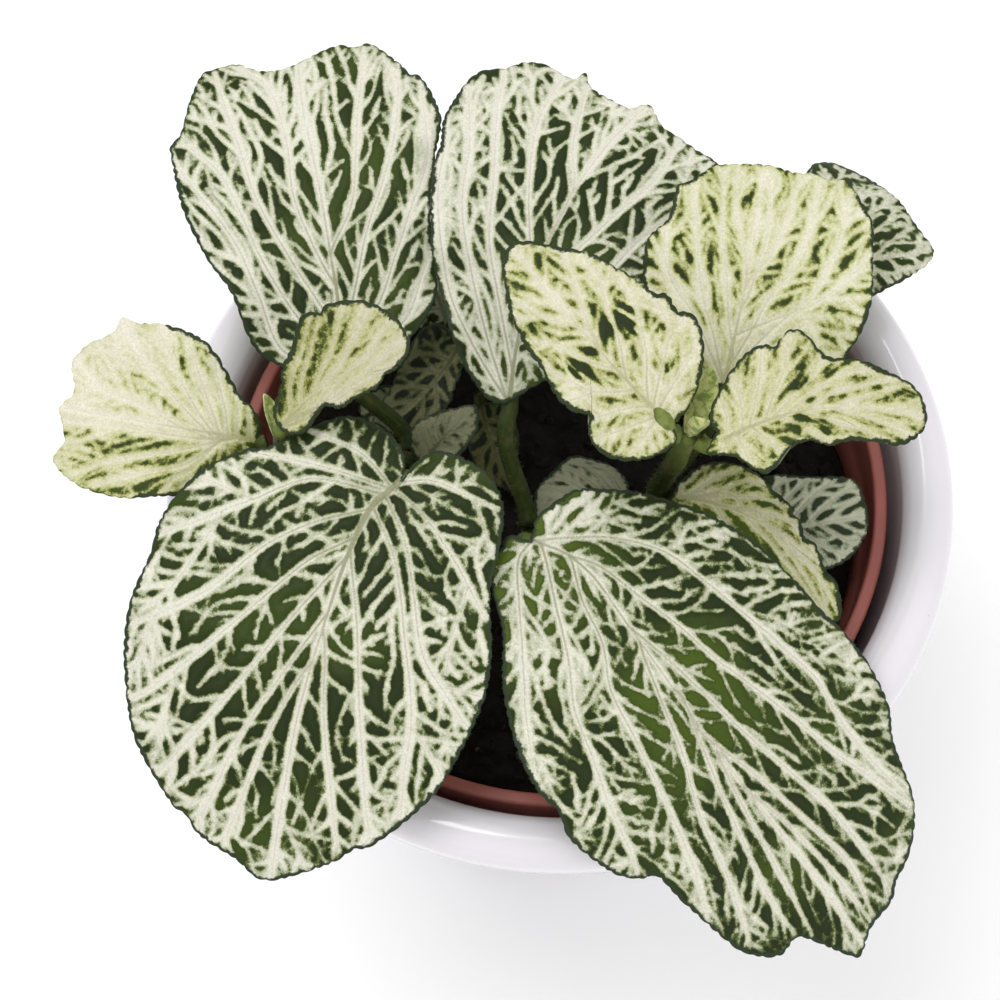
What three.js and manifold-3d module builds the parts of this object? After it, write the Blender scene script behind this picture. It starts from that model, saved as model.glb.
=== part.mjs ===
// A potted nerve plant: five leafy shoots in a plastic nursery pot that stands in a
// glazed cover pot. Millimetres, +Z up, origin at the centre of the cover pot's flat underside.
// Places in the plant are written as [x, y, height over the widest line of the cover pot's lip].
import * as THREE from 'three';
import { mergeVertices } from 'three/addons/utils/BufferGeometryUtils.js';
import Module from 'manifold-3d';

const wasm = await Module();
wasm.setup();

// ---- Driving dimensions -------------------------------------------------------------------

const GAP = 0.3;                 // air between pieces that touch
const SEAT = 0.55;               // air between a stem and the middle of a leaf stalk's end

const COVER_HEIGHT = 95;         // underside to the top of the lip
const COVER_RADIUS = 54;         // outside of the lip
const COVER_MOUTH = 47;          // inside edge of the lip
const COVER_FOOT = 33;           // radius of the flat underside's edge
const COVER_WALL = 4;
const COVER_FLOOR = 6;
const LIP_HEIGHT = 9;
const COVER_SIDES = 60;

const POT_RADIUS = 45.2;         // outside of the nursery pot's collar
const POT_SUNK = 1;              // its top lies this far under the lip's widest line
const POT_BASE_RADIUS = 28;
const POT_WALL = 1.2;
const COLLAR_HEIGHT = 9;
const COLLAR_STEP = 1.2;         // how far the collar stands proud of the wall
const POT_SIDES = 48;
const DRAIN_COUNT = 6;
const DRAIN_RADIUS = 3.5;
const DRAIN_CIRCLE = 18;

const SOIL_DEPTH = 11;           // from the lip's widest line down to the soil
const SOIL_LUMP = 1.1;
const SOIL_RINGS = 7;
const SOIL_SIDES = 36;
const HOLE_DEPTH = 8;

const BLADE = 0.6;               // thickness of a leaf blade
const EDGE_STEP = 5;             // longest straight piece of a leaf's edge
const PETIOLE_SIDES = 6;
const STEM_SIDES = 8;
const STEM_FOOT = 1.7;           // stem radius in the soil
const STEM_TOP = 1.2;
const SWELL = 1.12;              // how much thicker a stem is at its nodes

const lipHalf = (COVER_RADIUS - COVER_MOUTH) / 2;
const rimLevel = COVER_HEIGHT - lipHalf;
const potTop = rimLevel - POT_SUNK;
const potWallOut = POT_RADIUS - COLLAR_STEP;
const potWallIn = potWallOut - POT_WALL;
const potFloor = COVER_FLOOR + GAP;
const soilTop = rimLevel - SOIL_DEPTH;

const COLOURS = {
  glaze: 0xf4f2f4,
  terracotta: 0x96503f,
  soil: 0x2b211b,
  stem: 0x5d7a2f,
  darkLeaf: 0x3c5a36,
  paleLeaf: 0xc3c88f,
  shadeLeaf: 0x5a6a4c,
};

// ---- Shoots: where each stem runs, and the nodes that bear leaves ----------------------------

const SHOOTS = {
  left: [[-12, 1.8, -9.5], [-14, 1.5, -2], [-20, 0.5, 6], [-28.5, -0.8, 13], [-37, -1.4, 18.6]],
  middle: [[-2, -6.4, -9.5], [-2.3, -7.2, -4], [-3.2, -9, 2], [-4.2, -11, 8]],
  right: [[12.5, -5.4, -9.5], [12.6, -5.2, -2], [13, -4, 8], [14.6, -4.2, 18], [15.6, -4.6, 27]],
  backLeft: [[-9.2, 16.5, -9.5], [-9.5, 17, -4], [-10.5, 18.5, 2], [-11.5, 20, 8]],
  backRight: [[19.4, 14.2, -9.5], [20, 14.6, -4], [22.5, 16.5, 1], [25.5, 19, 6]],
};

// Each node is a point of its stem: [shoot, which point].
const NODES = {
  leftFoot: ['left', 1],
  leftMid: ['left', 2],
  leftTop: ['left', 4],
  middleTop: ['middle', 3],
  rightFoot: ['right', 1],
  rightMid: ['right', 2],
  rightTop: ['right', 4],
  backLeftFoot: ['backLeft', 1],
  backLeftTop: ['backLeft', 3],
  backRightMid: ['backRight', 2],
  backRightTop: ['backRight', 3],
};

// Young folded leaves that grow from the end of each stem: [tip, half width].
const YOUNG = {
  left: [[[-38.4, 2.8, 23], 0.9]],
  middle: [[[0.4, -11.6, 12.5], 1.1]],
  right: [[[18.2, 2.5, 31.5], 1.7], [[17, -5.4, 33], 1.2]],
  backLeft: [[[-9.8, 22, 13.2], 1.2]],
  backRight: [[[27.5, 21, 11.5], 1.2]],
};

// ---- Leaves --------------------------------------------------------------------------------
// base: where the stalk meets the blade; tip: its far end. A blade's own coordinates are
// [along base to tip, across, plus to the right seen from above], in millimetres from the base.
// bow: sideways bend of the midrib; arch: its rise in the middle; cup: lift of the side edges
// at the given width; wave: height of the edge's waves; roll: turn about the midrib in degrees.
// drop: the angle at which the stalk meets the blade, from in line (0) to square from below (90).
// leave: the way the stalk leaves its stem, where that isn't straight towards the blade.
// rise: how far the stalk's end stands over the blade.

const LEAVES = [
  {
    name: 'leaf_front_left', node: 'leftMid', colour: 'darkLeaf', rings: 4,
    base: [-20.5, -10, 25], tip: [-37, -56, 4], drop: 75, leave: [0.1, -1, 0.2],
    bow: 4.4, arch: 3.5, cup: -2, width: 23, wave: 0.7, waves: 9, notch: true,
    left: [[-2.5, -0.8], [-4.5, -2.5], [-5, -4.5], [-4, -10], [-1, -13], [4, -14.3], [9.5, -15],
      [16, -17.5], [21.5, -18.5], [27, -18.3], [32, -17.5], [35.5, -16.5], [41, -13.5],
      [45, -10.3], [45.3, -9.3], [48, -7]],
    right: [[-2, 0.5], [-4, 2], [-5.5, 6], [-5.5, 9], [-4.5, 11], [-1.5, 14.5], [1.5, 18], [3, 21],
      [8, 25.5], [15, 28], [19, 27.8], [24, 28], [29, 27.5], [33.5, 26.5], [39.5, 23.5], [44, 20],
      [48.5, 15], [49, 13], [50.5, 11], [52, 5], [53.5, 2]],
  },
  {
    name: 'leaf_front_right', node: 'middleTop', colour: 'darkLeaf', rings: 4,
    base: [-4.5, -16.5, 21], tip: [37.5, -64, -4], drop: 80, leave: [-0.1, -1, 0.2],
    bow: -2.4, arch: 4, cup: -2, width: 22, wave: 0.7, waves: 10, notch: true,
    left: [[-1.5, -2.5], [-1.5, -7], [-1, -9], [2, -13], [4.5, -15.5], [9.5, -18.8], [14.5, -21.5],
      [20, -23.5], [24.5, -23.6], [29, -24], [35, -25], [41, -24.5], [47, -23.5], [50, -21.5],
      [53.5, -20], [57.5, -18.5], [61.5, -15.5], [63.5, -13], [64.5, -10.5], [66, -8.5],
      [66.5, -3.5]],
    right: [[-2, 1.5], [-1.5, 3], [-0.5, 5.5], [1.5, 7.5], [6, 10], [11, 14], [14.5, 16], [21, 19],
      [25, 19.5], [28.5, 19], [31.5, 20], [38.5, 18.5], [41.5, 16], [42.3, 14.5], [47, 14],
      [54.5, 12.5], [57.5, 11.5], [61, 8], [60.5, 5], [62.5, 3.5], [67, 1]],
  },
  {
    name: 'leaf_back_left', node: 'leftMid', colour: 'darkLeaf', rings: 4,
    base: [-29, 11, 15], tip: [-35.5, 53.5, 22], drop: 25, leave: [-0.1, 1, 0.3],
    bow: -0.6, arch: 3, cup: 1.5, width: 18, wave: 0.8, waves: 8,
    left: [[0, -6.5], [3, -11], [5, -12], [11, -13.5], [16, -16], [21.5, -18], [26, -18.7],
      [30.5, -19], [32.5, -19], [34, -17.5], [39, -15.6], [43.5, -13.5], [44, -12.5], [45, -9],
      [43.5, -6], [43, -2.5]],
    right: [[-1, 2], [0, 5.5], [1, 8], [6, 13], [11.5, 14], [16.5, 14], [24.5, 15.5], [30.5, 17.5],
      [32, 17.5], [38.5, 15.5], [39, 14.5], [41, 13.5], [45.5, 9.5], [45, 7.5], [45.5, 5.5]],
  },
  {
    name: 'leaf_back_middle', node: 'middleTop', colour: 'darkLeaf', rings: 4,
    base: [-7, 3.5, 17], tip: [12, 46.5, 22], drop: 10, leave: [-0.1, 1, 0.3],
    bow: -4, arch: 4, cup: 1, width: 18, wave: 0.7, waves: 9,
    left: [[0, -1.5], [1.5, -5.5], [5, -10], [9.5, -13.5], [15, -17.5], [20, -19.8], [25, -22],
      [29, -22.5], [33.5, -24], [40, -23.5], [42, -22.5], [44, -19.5], [46, -18], [47.5, -15.5],
      [47.5, -11], [49.3, -10.2], [47.3, -8.6], [46, -5], [45.5, -2]],
    right: [[4, 2.4], [8, 5.2], [12, 8.5], [17, 11.5], [22.5, 13.5], [28.5, 15], [34, 15], [39, 14],
      [42, 12], [43, 9.5], [44.5, 5.5], [45, 3]],
  },
  {
    name: 'leaf_back_right', node: 'rightMid', colour: 'paleLeaf', rings: 4,
    base: [20.5, 4, 22], tip: [26.5, 33, 29], drop: 30,
    bow: 0.4, arch: 2.5, cup: 1, width: 15, wave: 0.6, waves: 8,
    left: [[0.5, -2], [2, -5.5], [4.5, -8.5], [7.5, -11], [11, -12.5], [14, -13], [17, -13],
      [20.5, -11], [25, -10.5], [26, -9], [29, -6.5], [30, -4]],
    right: [[0, 2], [0.5, 5.5], [2, 9.5], [4, 13], [6.5, 14.5], [10, 16], [14, 16.5], [18.5, 16],
      [24, 15], [27.5, 13], [30.3, 10.5], [30, 8.5], [30.5, 6.5], [30, 4]],
  },
  {
    name: 'leaf_far_right', node: 'backRightTop', colour: 'darkLeaf', rings: 3,
    base: [32, 28, 12], tip: [52, 31, 10], drop: 20,
    bow: 1.6, arch: 2, cup: -1, width: 8, wave: 0.4, waves: 7,
    left: [[0.2, -3.5], [1.5, -7.5], [3.5, -12], [6, -15.5], [7.5, -17], [10, -17], [11.5, -16],
      [15, -12.5], [17, -8.5], [18, -5], [20, -1.5]],
    right: [[0, 3], [1.5, 5], [4, 6.5], [6.5, 7], [11, 6.5], [15, 4.6], [18, 3], [19.5, 1.5]],
  },
  {
    name: 'leaf_tip_left', node: 'rightTop', colour: 'paleLeaf', rings: 3,
    base: [12, -5, 32], tip: [-7, 16, 38], drop: 30, rise: 1.3,
    bow: -0.8, arch: 1.5, cup: 1.5, width: 11, wave: 0.5, waves: 8,
    left: [[-1.5, 0.5], [-3, -0.5], [-3, -2.5], [-2, -5.5], [1, -8.8], [3, -9.4], [4.8, -8.8],
      [6.2, -7.3], [7.2, -8.4], [8.5, -9], [12.5, -8.6], [16.5, -7.8], [20.5, -7], [24, -5]],
    right: [[-0.5, 4.5], [2.5, 8.5], [6, 11], [8, 11], [9, 10], [11.5, 10], [12.5, 9], [16.5, 8.5],
      [18.5, 7.5], [22, 6.5], [25, 4.5]],
  },
  {
    name: 'leaf_tip_right', node: 'rightTop', colour: 'paleLeaf', rings: 3,
    base: [19.5, -7.5, 32], tip: [44.5, -4.5, 31], drop: 55,
    bow: -2, arch: 2, cup: 1.5, width: 9, wave: 0.5, waves: 7,
    left: [[-1, -1], [-1.5, -3], [-1, -4.5], [0, -6], [2, -8.4], [4.5, -10.5], [6.5, -11],
      [7.2, -10.5], [9.5, -12], [11, -11.5], [13.5, -9], [16.8, -7.8], [20, -7], [24, -5],
      [25, -3.5]],
    right: [[-2, 0.5], [-2.5, 1.5], [0.5, 2.8], [3.5, 5.5], [4.5, 5.5], [8, 2.4], [12.5, 3],
      [18.5, 3], [21, 3.5], [24, 2]],
  },
  {
    name: 'leaf_pale_left', node: 'leftTop', colour: 'paleLeaf', rings: 3,
    base: [-40, -1.8, 19], tip: [-65, 2, 20.5], drop: 15, leave: [-1, -0.5, 0], roll: -13,
    bow: -0.4, arch: 2, cup: 0.8, width: 11, wave: 0.5, waves: 7,
    left: [[0.5, -3.5], [2.5, -6], [5, -8], [9.5, -9.5], [14.5, -10.5], [17.5, -10.5],
      [20.5, -10], [24, -8], [25, -6.5], [24, -4.5], [24.5, -2.5]],
    right: [[-0.5, 2], [1, 4], [2.5, 5], [4.5, 7.5], [8, 11], [13.5, 12.5], [17.5, 12], [19, 12.5],
      [20, 10.5], [23.5, 8.5], [25, 6], [24.3, 4], [23.8, 2]],
  },
  {
    name: 'leaf_pale_middle', node: 'leftTop', colour: 'paleLeaf', rings: 3,
    base: [-36.5, -3.4, 25.5], tip: [-24, 9, 36], drop: 60, leave: [0.6, 0, 0.9],
    roll: -6,
    bow: 1.8, arch: 1, cup: 3, width: 8, wave: 0.4, waves: 6,
    left: [[1.5, -1.5], [5.5, -2.8], [9.5, -4], [13, -5], [14.5, -5], [15.5, -4], [17, -4],
      [19.5, -2]],
    right: [[0.8, 1.5], [2.5, 3.5], [7, 4], [8.5, 6], [12, 8], [14.5, 9.5], [16, 9], [17.5, 10],
      [20.5, 10], [21.5, 6.5], [21.5, 3.5]],
  },
  {
    name: 'leaf_low_right', node: 'rightMid', colour: 'paleLeaf', rings: 3,
    base: [15.5, -6, 9.5], tip: [36.5, -21.5, 5], drop: 15,
    bow: -3.7, arch: 2, cup: -1.5, width: 9, wave: 0.5, waves: 7,
    left: [[-1, -3.5], [0.5, -7], [4, -8.7], [7.5, -9], [11, -8.2], [14.5, -7], [16.5, -5.5],
      [18, -6], [21.5, -3.5], [23, -3.5]],
    right: [[-0.5, 1.5], [3.5, 3], [8, 4], [13.5, 5], [18.5, 4.5], [23.5, 3], [25.5, 1.5]],
  },
  {
    name: 'leaf_inner_right', node: 'rightFoot', colour: 'shadeLeaf', rings: 3,
    base: [24.5, -7, -2], tip: [42, -5, 0.5], drop: 10,
    bow: 0.3, arch: 1, cup: -0.5, width: 7, wave: 0.3, waves: 6,
    left: [[0.5, -3], [1.5, -5.5], [4, -7.5], [6.5, -8], [12.5, -6.5], [16, -6], [17.3, -5],
      [17.8, -2.5]],
    right: [[0, 2], [1.5, 4.5], [4, 6.5], [7.5, 7.5], [11, 7], [14.5, 5.5], [17.3, 2.2]],
  },
  {
    name: 'leaf_shade_left', node: 'backLeftTop', colour: 'shadeLeaf', rings: 2,
    base: [-13.5, 17.5, 8.5], tip: [-24.5, 7.5, 2.5], drop: 20, leave: [-0.4, -1, 0.2],
    bow: -1.9, arch: 2, cup: -1, width: 7, wave: 0.3, waves: 5,
    left: [[1, -2], [2.5, -3], [5, -4.5], [7.5, -5.5], [10, -5.5], [12, -5], [14.5, -3.6],
      [16, -2]],
    right: [[0, 2.5], [0.5, 4.5], [2.5, 5.5], [6.5, 4.2], [10, 2.8], [13.5, 2.2], [16.5, 1.5]],
  },
  {
    name: 'leaf_shade_middle', node: 'backLeftFoot', colour: 'shadeLeaf', rings: 2,
    base: [-11, 14, -2.5], tip: [-6.5, 1, -5], drop: 10,
    bow: 0.7, arch: 1.5, cup: -1, width: 5, wave: 0.3, waves: 5,
    left: [[1, -2], [3.5, -3.5], [7, -3.3], [10.5, -1.8]],
    right: [[1.5, 1.5], [4.5, 3.5], [8, 4], [11, 3.5], [13, 1.5]],
  },
  {
    name: 'leaf_shade_pale', node: 'leftFoot', colour: 'shadeLeaf', rings: 2,
    base: [-17.5, 0, 10.5], tip: [-11.5, 6, 12.5], drop: 60, leave: [0.6, -1, 0.2],
    bow: 0.2, arch: 1, cup: 1, width: 6, wave: 0.3, waves: 5,
    left: [[-1.5, -2.5], [0, -3.8], [3, -3.6], [6, -2]],
    right: [[-1, 2], [1, 3.2], [4, 3.5], [7, 2.4]],
  },
  {
    name: 'leaf_inner_middle', node: 'rightFoot', colour: 'shadeLeaf', rings: 2,
    base: [9.5, -2, 0], tip: [-3.5, -5.5, 2], drop: 15,
    bow: 1, arch: 2, cup: -1, width: 6, wave: 0.3, waves: 5,
    left: [[0.5, -1.8], [3, -2.6], [6.5, -3.5], [10, -3.5], [12.4, -2]],
    right: [[-0.5, 2.5], [1.2, 5], [3.8, 6.5], [6.5, 7], [9.5, 5.5], [11.8, 4], [13.2, 2]],
  },
  {
    name: 'leaf_shade_side', node: 'leftFoot', colour: 'shadeLeaf', rings: 2,
    base: [-18.5, 9.2, -4], tip: [-28, 12.2, -1], drop: 15, leave: [-0.4, 1, 0],
    bow: 0.9, arch: 1, cup: 0.5, width: 5, wave: 0.3, waves: 5,
    left: [[1.5, -2], [4, -3], [7.5, -2.5]],
    right: [[1, 2], [3.5, 3.5], [6, 4.5], [8.5, 4], [9.5, 2.5]],
  },
  {
    name: 'leaf_under_left', node: 'backLeftFoot', colour: 'darkLeaf', rings: 3,
    base: [-15.5, 23.5, 2], tip: [-27, 39.5, 7], drop: 15,
    bow: 1, arch: 3, cup: -1, width: 9, wave: 0.4, waves: 7, ovate: 9,
  },
  {
    name: 'leaf_under_middle', node: 'backLeftTop', colour: 'darkLeaf', rings: 3,
    base: [-8, 25, 9], tip: [2.5, 49, 6], drop: 20,
    bow: -1, arch: 2.5, cup: -1, width: 9, wave: 0.4, waves: 7, ovate: 9,
  },
  {
    name: 'leaf_under_right', node: 'backRightMid', colour: 'darkLeaf', rings: 3,
    base: [20, 22, 5], tip: [14, 46, 6], drop: 20,
    bow: 1, arch: 2.5, cup: -1, width: 8, wave: 0.4, waves: 7, ovate: 8,
  },
];

// ---- Small helpers ---------------------------------------------------------------------------

const overRim = ([x, y, z]) => new THREE.Vector3(x, y, z + rimLevel);

function geometryFrom(points, faces) {
  const geometry = new THREE.BufferGeometry();
  geometry.setAttribute('position', new THREE.Float32BufferAttribute(points.flat(), 3));
  geometry.setIndex(faces.flat());
  return geometry;
}

function toSolid(geometry) {
  const bare = geometry.clone();
  bare.deleteAttribute('normal');
  bare.deleteAttribute('uv');
  const merged = mergeVertices(bare, 1e-5);
  return new wasm.Manifold(new wasm.Mesh({
    numProp: 3,
    vertProperties: new Float32Array(merged.attributes.position.array),
    triVerts: new Uint32Array(merged.index.array),
  }));
}

function toGeometry(solid) {
  const mesh = solid.getMesh();
  const geometry = new THREE.BufferGeometry();
  geometry.setAttribute('position', new THREE.BufferAttribute(mesh.vertProperties, 3));
  geometry.setIndex(new THREE.BufferAttribute(mesh.triVerts, 1));
  return geometry;
}

function lathe(profile, sides) {
  const geometry = new THREE.LatheGeometry(profile.map(([r, z]) => new THREE.Vector2(r, z)), sides);
  geometry.rotateX(Math.PI / 2);
  return toSolid(geometry);
}

function rod(radius, from, height, sides) {
  const geometry = new THREE.CylinderGeometry(radius, radius, height, sides);
  geometry.rotateX(Math.PI / 2);
  geometry.translate(from.x, from.y, from.z + height / 2);
  return toSolid(geometry);
}

// A closed round bar through the given points, with its own radius at each of them.
function bar(points, radii, sides) {
  const rows = [];
  const faces = [];
  let across = new THREE.Vector3(1, 0.2, 0.1);
  points.forEach((point, i) => {
    const before = points[Math.max(i - 1, 0)];
    const after = points[Math.min(i + 1, points.length - 1)];
    const along = after.clone().sub(before).normalize();
    across = across.clone().addScaledVector(along, -across.dot(along)).normalize();
    const up = along.clone().cross(across);
    for (let k = 0; k < sides; k += 1) {
      const angle = (k / sides) * 2 * Math.PI;
      const p = point.clone();
      p.addScaledVector(across, radii[i] * Math.cos(angle));
      p.addScaledVector(up, radii[i] * Math.sin(angle));
      rows.push(p.toArray());
    }
  });
  for (let i = 0; i < points.length - 1; i += 1) {
    for (let k = 0; k < sides; k += 1) {
      const a = i * sides + k;
      const b = i * sides + ((k + 1) % sides);
      faces.push([a, b, b + sides], [a, b + sides, a + sides]);
    }
  }
  const last = (points.length - 1) * sides;
  for (let k = 1; k < sides - 1; k += 1) {
    faces.push([0, k + 1, k], [last, last + k, last + k + 1]);
  }
  return toSolid(geometryFrom(rows, faces));
}

// Centripetal spline through closed outline points, each span cut into equal short pieces.
function smoothOutline(points, step) {
  const flat = points.map(([s, t]) => new THREE.Vector3(s, t, 0));
  const count = flat.length;
  const curve = new THREE.CatmullRomCurve3(flat, true, 'centripetal');
  const out = [];
  flat.forEach((point, i) => {
    const pieces = Math.max(1, Math.round(point.distanceTo(flat[(i + 1) % count]) / step));
    for (let k = 0; k < pieces; k += 1) {
      const p = curve.getPoint((i + k / pieces) / count);
      out.push([p.x, p.y]);
    }
  });
  return out;
}

// ---- Leaf blades -------------------------------------------------------------------------------

function leafFrame(leaf) {
  const base = overRim(leaf.base);
  const tip = overRim(leaf.tip);
  const along = tip.clone().sub(base);
  const length = along.length();
  along.normalize();
  const up = new THREE.Vector3(0, 0, 1).addScaledVector(along, -along.z).normalize();
  const across = along.clone().cross(up);
  const roll = THREE.MathUtils.degToRad(leaf.roll ?? 0);
  const normal = up.clone().multiplyScalar(Math.cos(roll)).addScaledVector(across, Math.sin(roll));
  const side = across.clone().multiplyScalar(Math.cos(roll)).addScaledVector(up, -Math.sin(roll));
  return { base, along, side, normal, length };
}

// A plain ovate outline for a leaf of the given half width.
function ovateOutline(length, halfWidth) {
  const side = [];
  const count = 9;
  for (let i = 1; i < count; i += 1) {
    const q = i / count;
    const wide = Math.sin(Math.PI * q ** 0.8) ** 0.75;
    side.push([q * length, halfWidth * wide * (1 + 0.05 * Math.sin(9 * q))]);
  }
  return { left: side.map(([s, t]) => [s, -t]), right: side };
}

function leafOutline(leaf, length) {
  const { left, right } = leaf.ovate ? ovateOutline(length, leaf.ovate) : leaf;
  const start = leaf.notch || leaf.ovate ? [[0, 0]] : [];
  return [...start, ...left, [length, 0], ...[...right].reverse()];
}

const midrib = (leaf, q) => leaf.bow * 4 * q * (1 - q);

function bladeHeight(leaf, frame, s, t, centre, ring) {
  const q = s / frame.length;
  const out = (t - midrib(leaf, q)) / leaf.width;
  const angle = Math.atan2(t - centre[1], s - centre[0]);
  const edge = leaf.wave * ring ** 3 * Math.sin(leaf.waves * angle + 0.7);
  return leaf.arch * 4 * q * (1 - q) + leaf.cup * out * out + edge;
}

function bladePoint(leaf, frame, s, t, centre, ring) {
  const p = frame.base.clone();
  p.addScaledVector(frame.along, s);
  p.addScaledVector(frame.side, t);
  p.addScaledVector(frame.normal, bladeHeight(leaf, frame, s, t, centre, ring));
  return p;
}

function bladeNormal(leaf, frame, s, t, centre, ring) {
  const d = 0.05;
  const p = bladePoint(leaf, frame, s, t, centre, ring);
  const ds = bladePoint(leaf, frame, s + d, t, centre, ring).sub(p);
  const dt = bladePoint(leaf, frame, s, t + d, centre, ring).sub(p);
  return dt.cross(ds).normalize();
}

// The blade as rings round its centre: two faces with the same triangles and a thin rim.
function blade(leaf, frame) {
  const edge = smoothOutline(leafOutline(leaf, frame.length), EDGE_STEP);
  const q = 0.46;
  const centre = [q * frame.length, midrib(leaf, q)];
  const count = edge.length;
  const upper = [];
  const lower = [];
  const add = (s, t, ring) => {
    const p = bladePoint(leaf, frame, s, t, centre, ring);
    const n = bladeNormal(leaf, frame, s, t, centre, ring);
    upper.push(p.clone().addScaledVector(n, BLADE / 2).toArray());
    lower.push(p.clone().addScaledVector(n, -BLADE / 2).toArray());
  };
  add(centre[0], centre[1], 0);
  for (let ring = 1; ring <= leaf.rings; ring += 1) {
    const f = ring / leaf.rings;
    edge.forEach(([s, t]) => {
      add(centre[0] + f * (s - centre[0]), centre[1] + f * (t - centre[1]), f);
    });
  }
  const top = [];
  for (let k = 0; k < count; k += 1) {
    const next = (k + 1) % count;
    top.push([0, 1 + next, 1 + k]);
    for (let ring = 1; ring < leaf.rings; ring += 1) {
      const inner = 1 + (ring - 1) * count;
      const outer = inner + count;
      top.push([inner + k, inner + next, outer + next], [inner + k, outer + next, outer + k]);
    }
  }
  const under = upper.length;
  const faces = [...top, ...top.map(([a, b, c]) => [under + a, under + c, under + b])];
  const rim = 1 + (leaf.rings - 1) * count;
  for (let k = 0; k < count; k += 1) {
    const a = rim + k;
    const b = rim + ((k + 1) % count);
    faces.push([a, b, under + b], [a, under + b, under + a]);
  }
  return toSolid(geometryFrom([...upper, ...lower], faces));
}

const stemRadius = (route, index) => (
  STEM_FOOT + (STEM_TOP - STEM_FOOT) * ((index + 1) / route.length)
);

// The leaf stalk, which runs on under the blade as the raised midrib.
function stalk(leaf, frame) {
  const thick = Math.min(1.15, 0.7 + frame.length * 0.011);
  const below = (r) => -(r - 0.05) + (leaf.rise ?? 0);
  const [shoot, index] = NODES[leaf.node];
  const route = SHOOTS[shoot];
  const node = overRim(route[index]);
  const upStem = overRim(route[Math.min(index + 1, route.length - 1)]);
  upStem.sub(overRim(route[index - 1])).normalize();
  const end = frame.base.clone().addScaledVector(frame.normal, below(thick));
  const span = end.distanceTo(node);
  const drop = THREE.MathUtils.degToRad(leaf.drop);
  const arrive = frame.along.clone().multiplyScalar(Math.cos(drop));
  arrive.addScaledVector(frame.normal, Math.sin(drop)).normalize();
  const leave = leaf.leave ? new THREE.Vector3(...leaf.leave) : end.clone().sub(node);
  if (!leaf.leave) leave.addScaledVector(upStem, -leave.dot(upStem));
  leave.normalize();
  const start = node.clone().addScaledVector(leave, stemRadius(route, index) * SWELL + SEAT);
  const path = new THREE.CubicBezierCurve3(
    start,
    start.clone().addScaledVector(leave, span * 0.3),
    end.clone().addScaledVector(arrive, -span * 0.3),
    end,
  );
  const points = path.getPoints(Math.max(3, Math.round(span / 3)));
  const radii = points.map(() => thick);
  const ribSteps = Math.max(3, Math.round(frame.length / 8));
  for (let i = 1; i <= ribSteps; i += 1) {
    const q = (0.7 * i) / ribSteps;
    const r = thick * (1 - 0.72 * (i / ribSteps));
    const s = q * frame.length;
    const rise = (leaf.rise ?? 0) * Math.max(0, 1 - i / 2);
    const p = bladePoint(leaf, frame, s, midrib(leaf, q), [s, midrib(leaf, q)], 0);
    points.push(p.addScaledVector(frame.normal, -(r - 0.05) + rise));
    radii.push(r);
  }
  return bar(points, radii, PETIOLE_SIDES);
}

function leafMesh(leaf) {
  const frame = leafFrame(leaf);
  const solid = blade(leaf, frame).add(stalk(leaf, frame));
  return named(leaf.name, toGeometry(solid), COLOURS[leaf.colour], 0.65);
}

// ---- Stems -----------------------------------------------------------------------------------

function youngLeaf(a, [to, halfWidth]) {
  const b = overRim(to);
  const points = [];
  const radii = [];
  const steps = 5;
  for (let i = 0; i <= steps; i += 1) {
    const q = i / steps;
    points.push(a.clone().lerp(b, q));
    radii.push(0.35 + (halfWidth - 0.35) * Math.sin(Math.PI * (0.25 + 0.75 * q)));
  }
  return bar(points, radii, 6);
}

function stemMesh(name, shoot) {
  const points = SHOOTS[shoot].map(overRim);
  points.unshift(points[0].clone().setZ(soilTop - HOLE_DEPTH + GAP));
  const curve = new THREE.CatmullRomCurve3(points, false, 'centripetal');
  const steps = 4 * (points.length - 1);
  const path = curve.getPoints(steps);
  const radii = path.map((p, i) => {
    const swell = i % 4 === 0 ? SWELL : 1;
    return (STEM_FOOT + (STEM_TOP - STEM_FOOT) * (i / steps)) * swell;
  });
  let solid = bar(path, radii, STEM_SIDES);
  YOUNG[shoot].forEach((young) => {
    solid = solid.add(youngLeaf(points[points.length - 1], young));
  });
  return named(name, toGeometry(solid), COLOURS.stem, 0.6);
}

// ---- Pots and soil ---------------------------------------------------------------------------

function arc(centre, radii, from, to, steps) {
  const out = [];
  for (let i = 0; i <= steps; i += 1) {
    const angle = THREE.MathUtils.degToRad(from + ((to - from) * i) / steps);
    out.push([centre[0] + radii[0] * Math.cos(angle), centre[1] + radii[1] * Math.sin(angle)]);
  }
  return out;
}

function coverPot() {
  const underLip = COVER_HEIGHT - LIP_HEIGHT;
  const wallTop = COVER_MOUTH + COVER_WALL;
  const profile = [
    [0, 0],
    ...arc([COVER_FOOT - 2.5, 2.5], [2.5, 2.5], -90, -10, 3),
    [wallTop, underLip - 2.5],
    [wallTop + 1.2, underLip - 0.6],
    [COVER_RADIUS - 0.4, underLip + 1.6],
    ...arc([COVER_MOUTH + lipHalf, rimLevel], [lipHalf, lipHalf], 0, 180, 8),
    [COVER_MOUTH, underLip],
    ...arc([COVER_FOOT - COVER_WALL - 2, COVER_FLOOR + 3], [3, 3], 0, -90, 3),
    [0, COVER_FLOOR],
  ];
  return named('cover_pot', toGeometry(lathe(profile, COVER_SIDES)), COLOURS.glaze, 0.2);
}

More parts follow.
